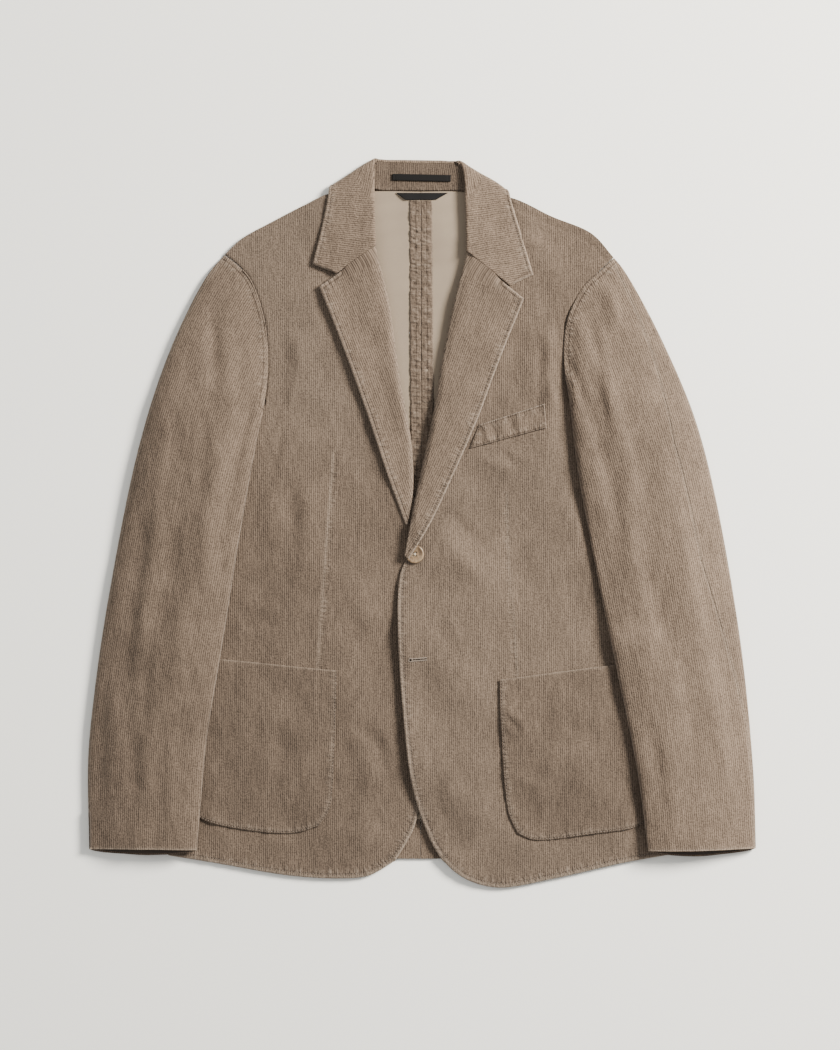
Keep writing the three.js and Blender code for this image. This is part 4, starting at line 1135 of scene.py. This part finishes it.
pocket_folds = {
    "left": [
        (89, -208, 97, -214, 106, -226, 3, 5, -1.1), (88, -200, 100, -207, 110, -217, 4, 4, 0.9),
        (94, -272, 120, -282, 143, -307, 7, 9, 1.1), (118, -290, 130, -306, 134, -330, 5, 7, 0.9),
        (150, -166, 147, -200, 152, -240, 8, 12, 0.8), (176, -170, 180, -210, 186, -260, 9, 7, -0.7),
        (100, -238, 96, -262, 6, 6, 0.6),
    ],
    "right": [
        (-128, -200, -127, -250, -126, -296, 12, 12, 1.1),
        (-156, -204, -155, -250, -154, -298, 9, 9, -1.0), (-104, -190, -110, -222, -112, -250, 7, 9, 0.8),
        (-190, -190, -196, -240, 12, 10, 0.8), (-220, -260, -226, -300, 8, 10, 0.7),
    ],
}
for name, side in SIDES.items():
    plan = panel_plan(
        along_line(pocket_inners[name]), along_line(pocket_outers[name]),
        along_line(pocket_bottoms[name]), along_line(pocket_tops[name]),
        shares_to_edge(POCKET_COLUMNS, POCKET_WIDTH), shares_to_edge(POCKET_ROWS, POCKET_LENGTH), 2)
    x, y = plan[..., 0], plan[..., 1]
    sewn, place = nearest_edge(x, y, pocket_inners[name], pocket_bottoms[name], pocket_outers[name])
    mouth, _ = nearest_edge(x, y, pocket_tops[name])
    bulge = POCKET_BULGE * ramp(y, -340, -250) * (1 - ramp(y, -230, -150))
    height = top_of[name](x, y) + LAYER_GAP + bulge + POCKET_CLOTH
    height = height + edge_relief(sewn, place, POCKET_STITCH_IN, 9, 0.3) + 0.35 * waves(x, y * 0.7, 34, 51)
    height = height + 1.3 * fold_relief(x, y, pocket_folds[name])
    height = height + 0.6 * ramp(mouth, 22, 0) * ramp(sewn, 4, 25)
    height = height - rounded_edge(np.minimum(sewn, mouth), POCKET_CLOTH)
    pocket = cloth_piece(
        f"pocket_{name}_cloth", np.dstack([x, y, height]), POCKET_WALL, x, y, side,
        (sewn, place), 0.55 * bell(mouth, 1.5) + 0.3 * bell(sewn - 3.5, 1.5))
    pocket.data.materials.append(corduroy(f"{name} pocket corduroy", 0.87, POCKET_STITCH_IN))
    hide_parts(f"pocket_{name}")
    finished = edge_round(pocket_inners[name], pocket_bottoms[name])
    topstitch(f"pocket_{name}_stitches", np.dstack([x, y, height]), finished, POCKET_STITCH_IN, side)

# Breast welt: a slanted doubled band of corduroy on the left front, stitched up at its two ends.
# Its foot is sewn to the front, and small folds cross it where the washed cloth has drawn up.
welt_folds = [
    (71, 84, 66, 111, 3, 4, 1.0), (80, 86, 74, 114, 3, 3, -0.9), (90, 90, 85, 118, 4, 3, 0.9),
    (98, 92, 94, 120, 3, 4, -1.0), (107, 94, 104, 122, 4, 5, 0.8),
]
welt_corners = [(51, 80.5), (134, 103), (132, 129), (60.8, 106)]


def trim_plan(corners, across, along):
    """A plan between four corners, listed round from the lower left."""
    low_start, low_end, high_end, high_start = (np.array(corner, float) for corner in corners)
    wide = np.linspace(0, 1, across)[None, :, None]
    up = np.linspace(0, 1, along)[:, None, None]
    return mix(mix(low_start, low_end, wide), mix(high_start, high_end, wide), up)


plan = trim_plan(welt_corners, 60, 26)
x, y = plan[..., 0], plan[..., 1]
distance, place, _ = near_line(x, y, [*welt_corners, welt_corners[0]])
distance = np.abs(distance)
height = top_of_left_front(x, y) + LAYER_GAP + POCKET_CLOTH + 0.25 * waves(x, y, 18, 61)
height = height + fold_relief(x, y, welt_folds) - rounded_edge(distance, POCKET_CLOTH, 1.4)
welt = cloth_piece("breast_welt_cloth", np.dstack([x, y, height]), POCKET_WALL, x, y, 1,
                   (distance, place), 0.5 * bell(distance, 1.2))
welt.data.materials.append(corduroy("welt corduroy", 1.02, POCKET_STITCH_IN))
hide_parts("breast_welt")

# Seam strips: the allowances of the centre back seam, pressed open and overlocked at their edges.
# They are the back's own corduroy, puckered by the stitches, and lie on the inside of the back.
STRIP_CLOTH = 1.0
STRIP_WALL = 0.8
STRIP_FROM_SEAM = 0.12
RUNG_PITCH = 4.6
TRIM_GAP = 0.3
STRIP_ROWS, STRIP_COLUMNS = 601, 12
STRIP_STITCH_IN = 6.5
strip_y = (-300, 40, 200, 348)
strip_centre = (0, 0, -1, -1.3)
strip_outer = {"left": (13.5, 13.5, 12, 11), "right": (-12, -12, -13, -13.5)}
strip_face = corduroy("seam allowance", 0.98, STRIP_STITCH_IN)
for name, side in SIDES.items():
    y = np.linspace(strip_y[0], strip_y[-1], STRIP_ROWS)[:, None] + np.zeros((1, STRIP_COLUMNS))
    centre = np.interp(y, strip_y, strip_centre) + side * STRIP_FROM_SEAM
    outer = np.interp(y, strip_y, strip_outer[name]) + 0.25 * waves(y, 0 * y, 14, 67 + side)
    x = mix(centre, outer, np.linspace(0, 1, STRIP_COLUMNS)[None, :])
    from_outer = np.abs(x - outer)
    rung = 0.6 * np.sin(math.tau * y / RUNG_PITCH + 2.2 * waves(y, x, 22, 71 + side))
    rung = rung + 0.8 * waves(y, 0.6 * x, 7, 73 + side) + 0.5 * waves(y, x, 4.5, 77 + side)
    pucker = 0.5 * rung * (0.4 + bell(from_outer - STRIP_STITCH_IN, 4.5))
    height = top_of_back(x, y) + TRIM_GAP + STRIP_CLOTH + pucker + 0.3
    height = height - rounded_edge(from_outer, STRIP_CLOTH, 1.5)
    height = height - 0.2 * bell(x - centre, 1.2)
    strip = cloth_piece(
        f"seam_strip_{name}_cloth", np.dstack([x, y, height]), STRIP_WALL, 1.6 * x, y, side,
        (from_outer, y + 400), 0.4 * bell(from_outer, 1.2))
    strip.data.materials.append(strip_face)
    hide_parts(f"seam_strip_{name}")

# Neck tab: a black smooth tab folded and sewn in at the back of the neck, bare.
# It is black ribbon, caught along its upper edge in the seam of the collar stand.
TAB_CLOTH = 0.8


def ribbon(name, colour):
    """Black woven ribbon with a fine rib across it and a slight sheen."""
    material, shader = new_material(name, 0.75, 0.01, (1.0, 0.95, 0.9, 1), 0.3)
    shader.inputs["Specular IOR Level"].default_value = 0.12
    tree = material.node_tree
    wales, parts = own_map(tree, "wales")
    rib = calc(tree, "SINE", calc(tree, "MULTIPLY", parts["X"], math.tau * THREADS_A_METRE))
    thread = noise(tree, wales, 900.0, 2.0)
    tone = calc(tree, "MULTIPLY_ADD", thread, 0.5, 0.75)
    tree.links.new(shaded(tree, (*colour, 1), tone), shader.inputs["Base Color"])
    height = calc(tree, "MULTIPLY_ADD", rib, 0.00006, calc(tree, "MULTIPLY", thread, 0.0001))
    bumped(tree, 0.6, height, shader.inputs["Normal"])
    return material


plan = trim_plan([(-18, 349), (15, 349), (28, 356.5), (-28, 356.5)], 40, 14)
x, y = plan[..., 0], plan[..., 1]
height = top_of_back(x, y) + TRIM_GAP + STRIP_CLOTH + 0.15 * np.sin(x / 4)
tab = cloth_piece("neck_tab_cloth", np.dstack([x, y, height]), TAB_CLOTH, x, y)
tab.data.materials.append(ribbon("black tab", (0.008, 0.0075, 0.007)))
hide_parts("neck_tab")

# Hanger loop: black ribbon sewn to the collar stand at both ends, with a little slack between.
# Its ends are pressed flat where the stitches hold them.
LOOP_CLOTH, LOOP_RISE, LOOP_GAP = 0.7, 0.8, 0.55
LOOP_MIDDLE, LOOP_HALF, LOOP_STITCHES = -0.5, 31.5, 29
STAND_HEIGHT = 3.8
plan = trim_plan([(-32, 370), (31, 368.6), (31, 375.6), (-32, 377)], 64, 9)
x, y = plan[..., 0], plan[..., 1]
aside = np.abs(x - LOOP_MIDDLE)
slack = 0.4 * (1 - (aside / LOOP_HALF) ** 2) - 0.25 * bell(aside - LOOP_STITCHES, 0.8)
height = STAND_HEIGHT + STAND_CLOTH / 2 + LOOP_GAP + LOOP_RISE + slack
loop = cloth_piece("hanger_loop_cloth", np.dstack([x, y, height]), LOOP_CLOTH, x, y)
loop.data.materials.append(ribbon("black ribbon", (0.0065, 0.0058, 0.0052)))
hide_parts("hanger_loop")

# Buttons: turned horn-like buttons with a rim and four holes, sewn through to the right front.
# The cream thread crosses each one's dished face from hole to hole.
HOLE_OUT = 1.7
HOLE_RADIUS = 0.8
HOLE_SIDES = 14
CROSS_THREAD = 0.45
BUTTON_SIDES = 56
DRILL_LENGTH = 9
CROSS_RISE = 2.05
buttons = {
    "button_upper": (-8, -33, float(top_of_left_front(np.array(-8.0), np.array(-33.0))) + 0.4),
    "button_lower": (-7, -146, float(top_of_right_front(np.array(-7.0), np.array(-146.0))) + 0.3),
}
button_profile = [
    (0, 0), (8.4, 0), (9.3, 0.25), (9.9, 0.9), (10, 1.5), (9.8, 2.2), (9.3, 2.6), (8.6, 2.65), (7.9, 2.5),
    (7.0, 2.15), (6.0, 1.9), (4.0, 1.8), (0, 1.8),
]
horn, horn_shader = new_material("horn button", 0.32)
tree = horn.node_tree
place = object_place(tree)
stretched = add_node(tree, "ShaderNodeMapping", {"Vector": place, "Scale": (1.0, 0.35, 1.0)}).outputs[0]
grain = noise(tree, stretched, 260.0, 4.0, 0.65)
cloud = noise(tree, place, 90.0, 2.0)
tone = blend(tree, span(tree, grain, 0.3, 0.75), (0.08, 0.045, 0.02, 1), (0.25, 0.165, 0.088, 1))
tone = blend(tree, span(tree, cloud, 0.45, 0.7), tone, (0.34, 0.25, 0.15, 1))
tree.links.new(tone, horn_shader.inputs["Base Color"])
tree.links.new(span(tree, grain, 0.2, 0.8, 0.28, 0.45), horn_shader.inputs["Roughness"])
bumped(tree, 0.3, calc(tree, "MULTIPLY", grain, 0.0002), horn_shader.inputs["Normal"])
cream_thread, _, _ = mottled("cream thread", 2200.0, 2.0, (0.42, 0.36, 0.26), (0.6, 0.52, 0.4), 0.6, 0.2)

for name, (x, y, z) in buttons.items():
    turned = bmesh.new()
    corners = [turned.verts.new((out * MM, 0, up * MM)) for out, up in button_profile]
    edges = [turned.edges.new(pair) for pair in zip(corners, corners[1:])]
    bmesh.ops.spin(turned, geom=corners + edges, cent=(0, 0, 0), axis=(0, 0, 1), angle=math.tau,
                   steps=BUTTON_SIDES, use_merge=True)
    bmesh.ops.remove_doubles(turned, verts=turned.verts, dist=1e-6)
    bmesh.ops.recalc_face_normals(turned, faces=turned.faces)
    bmesh.ops.translate(turned, verts=turned.verts, vec=(x * MM, y * MM, z * MM))
    mesh = mesh_of(name, turned)
    mesh.shade_smooth()
    mesh.materials.append(horn)
    piece = placed(f"{name}_horn", mesh)
    drill = bmesh.new()
    holes = [(x + a * HOLE_OUT, y + b * HOLE_OUT, z) for a, b in ((1, 1), (-1, -1), (1, -1), (-1, 1))]
    for hole in holes:
        bmesh.ops.create_cone(
            drill, cap_ends=True, segments=HOLE_SIDES, radius1=HOLE_RADIUS * MM, radius2=HOLE_RADIUS * MM,
            depth=DRILL_LENGTH * MM, matrix=Matrix.Translation(Vector(hole) * MM))
    drill = placed("drill", mesh_of("drill", drill))
    cut = piece.modifiers.new("thread holes", "BOOLEAN")
    cut.operation = "DIFFERENCE"
    cut.object = drill
    drilled = bpy.data.meshes.new_from_object(piece.evaluated_get(bpy.context.evaluated_depsgraph_get()))
    piece.modifiers.clear()
    piece.data = drilled
    bpy.data.objects.remove(drill)
    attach(piece, "root")
    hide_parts(name)
    over = [(a, b, c + CROSS_RISE) for a, b, c in holes]
    thread_bars(f"{name}_cross", over[::2], over[1::2], CROSS_THREAD, cream_thread)

# Buttonhole: a keyhole slit through the left front for the lower button, open, with its round eye
# towards the edge. It is worked close round with thread; the dark slit, a thin sheet of painted shade for
# the opening, lies on the front's face.
HOLE_EYE = (-12.5, -147.0)
HOLE_END = (5.5, -145.6)
EYE_RADIUS = 1.25
BAR_STEP = 0.6
BAR_RADIUS = 0.34
FIRST_BAR = 1.4
BAR_IN, BAR_OUT = 0.35, 2.0
EYE_BARS, EYE_MOUTH, EYE_BAR = 15, 0.25, 1.5
SLIT_HALF, LEAST_SQUARE = 0.45, 0.02
BARS_RISE, SLIT_RISE, SLIT_DEPTH = 0.25, 0.3, 0.3
reach = np.hypot(HOLE_END[0] - HOLE_EYE[0], HOLE_END[1] - HOLE_EYE[1])
forward = (np.array(HOLE_END) - HOLE_EYE) / reach
sideways = np.array([-forward[1], forward[0]])
bars = []
for place in np.arange(FIRST_BAR, reach, BAR_STEP):
    for way in (1, -1):
        middle = np.array(HOLE_EYE) + forward * place
        bars.append((middle + sideways * way * BAR_IN, middle + sideways * way * BAR_OUT))
for turn in np.linspace(EYE_MOUTH, math.tau - EYE_MOUTH, EYE_BARS):
    spoke = forward * math.cos(turn) + sideways * math.sin(turn)
    bars.append((HOLE_EYE + spoke * EYE_RADIUS, HOLE_EYE + spoke * (EYE_RADIUS + EYE_BAR)))
bars = np.array(bars)
rest = top_of_left_front(bars[..., 0], bars[..., 1])[..., None] + BARS_RISE
bars = np.concatenate([bars, rest], axis=-1)
thread_bars("buttonhole_stitches", bars[:, 0], bars[:, 1], BAR_RADIUS, thread)

slit = bmesh.new()
bmesh.ops.create_grid(slit, x_segments=24, y_segments=6, size=1)
for corner in slit.verts:
    place = (corner.co.x + 1) / 2 * (reach + EYE_RADIUS) - EYE_RADIUS
    eye_half = math.sqrt(max(LEAST_SQUARE, EYE_RADIUS**2 - place**2))
    half = SLIT_HALF if place > EYE_RADIUS * 0.9 else eye_half
    x, y = np.array(HOLE_EYE) + forward * place + sideways * corner.co.y * half
    corner.co = Vector((x, y, float(top_of_left_front(np.array(x), np.array(y))) + SLIT_RISE)) * MM
mesh = mesh_of("buttonhole_slit", slit)
mesh.shade_smooth()
# Painted shade: the slit's colour is the near black of the shade inside the opening.
dark, shader, _ = mottled(
    "shade in the slit", 1200.0, 2.0, (0.004, 0.003, 0.002), (0.016, 0.011, 0.008), 0.95)
shader.inputs["Specular IOR Level"].default_value = 0.1
mesh.materials.append(dark)
piece = placed("buttonhole_slit", mesh)
wall = piece.modifiers.new("depth", "SOLIDIFY")
wall.thickness = SLIT_DEPTH * MM
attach(piece, "root")

# Studio: a pale paper floor, a soft key light from the upper right, and a camera straight above.
# None of it is part of the jacket.
floor_mesh = bmesh.new()
bmesh.ops.create_grid(floor_mesh, x_segments=1, y_segments=1, size=4)
floor = placed("floor", mesh_of("floor", floor_mesh))
paper, shader, _ = mottled("pale paper", 3.0, 3.0, (0.945, 0.925, 0.845), (0.97, 0.95, 0.87), 0.9)
shader.inputs["Specular IOR Level"].default_value = 0.1
floor.data.materials.append(paper)


def soft_light(name, place, size, power, colour):
    light = bpy.data.lights.new(name, "AREA")
    light.shape = "DISK"
    light.size = size
    light.energy = power
    light.color = colour
    lamp = placed(name, light)
    lamp.location = place
    lamp.rotation_euler = (-Vector(place)).to_track_quat("-Z", "Y").to_euler()


soft_light("key", (2.3, 1.35, 1.75), 1.1, 368, (1.0, 0.97, 0.93))
soft_light("fill", (-1.2, 0.6, 2.8), 2.5, 18, (0.97, 0.98, 1.0))
world = bpy.data.worlds.new("studio")
world.use_nodes = True
world.node_tree.nodes["Background"].inputs["Color"].default_value = (0.95, 0.97, 1.0, 1)
world.node_tree.nodes["Background"].inputs["Strength"].default_value = 0.57
bpy.context.scene.world = world

IMAGE_WIDTH = 0.9072
IMAGE_CENTRE = (-0.0022, -0.0016)
CAMERA_HEIGHT = 3.0
SENSOR_WIDTH = 36
lens = bpy.data.cameras.new("camera")
lens.sensor_fit = "HORIZONTAL"
lens.sensor_width = SENSOR_WIDTH
lens.lens = SENSOR_WIDTH * CAMERA_HEIGHT / IMAGE_WIDTH
camera = placed("camera", lens)
camera.location = (*IMAGE_CENTRE, CAMERA_HEIGHT)
bpy.context.scene.camera = camera
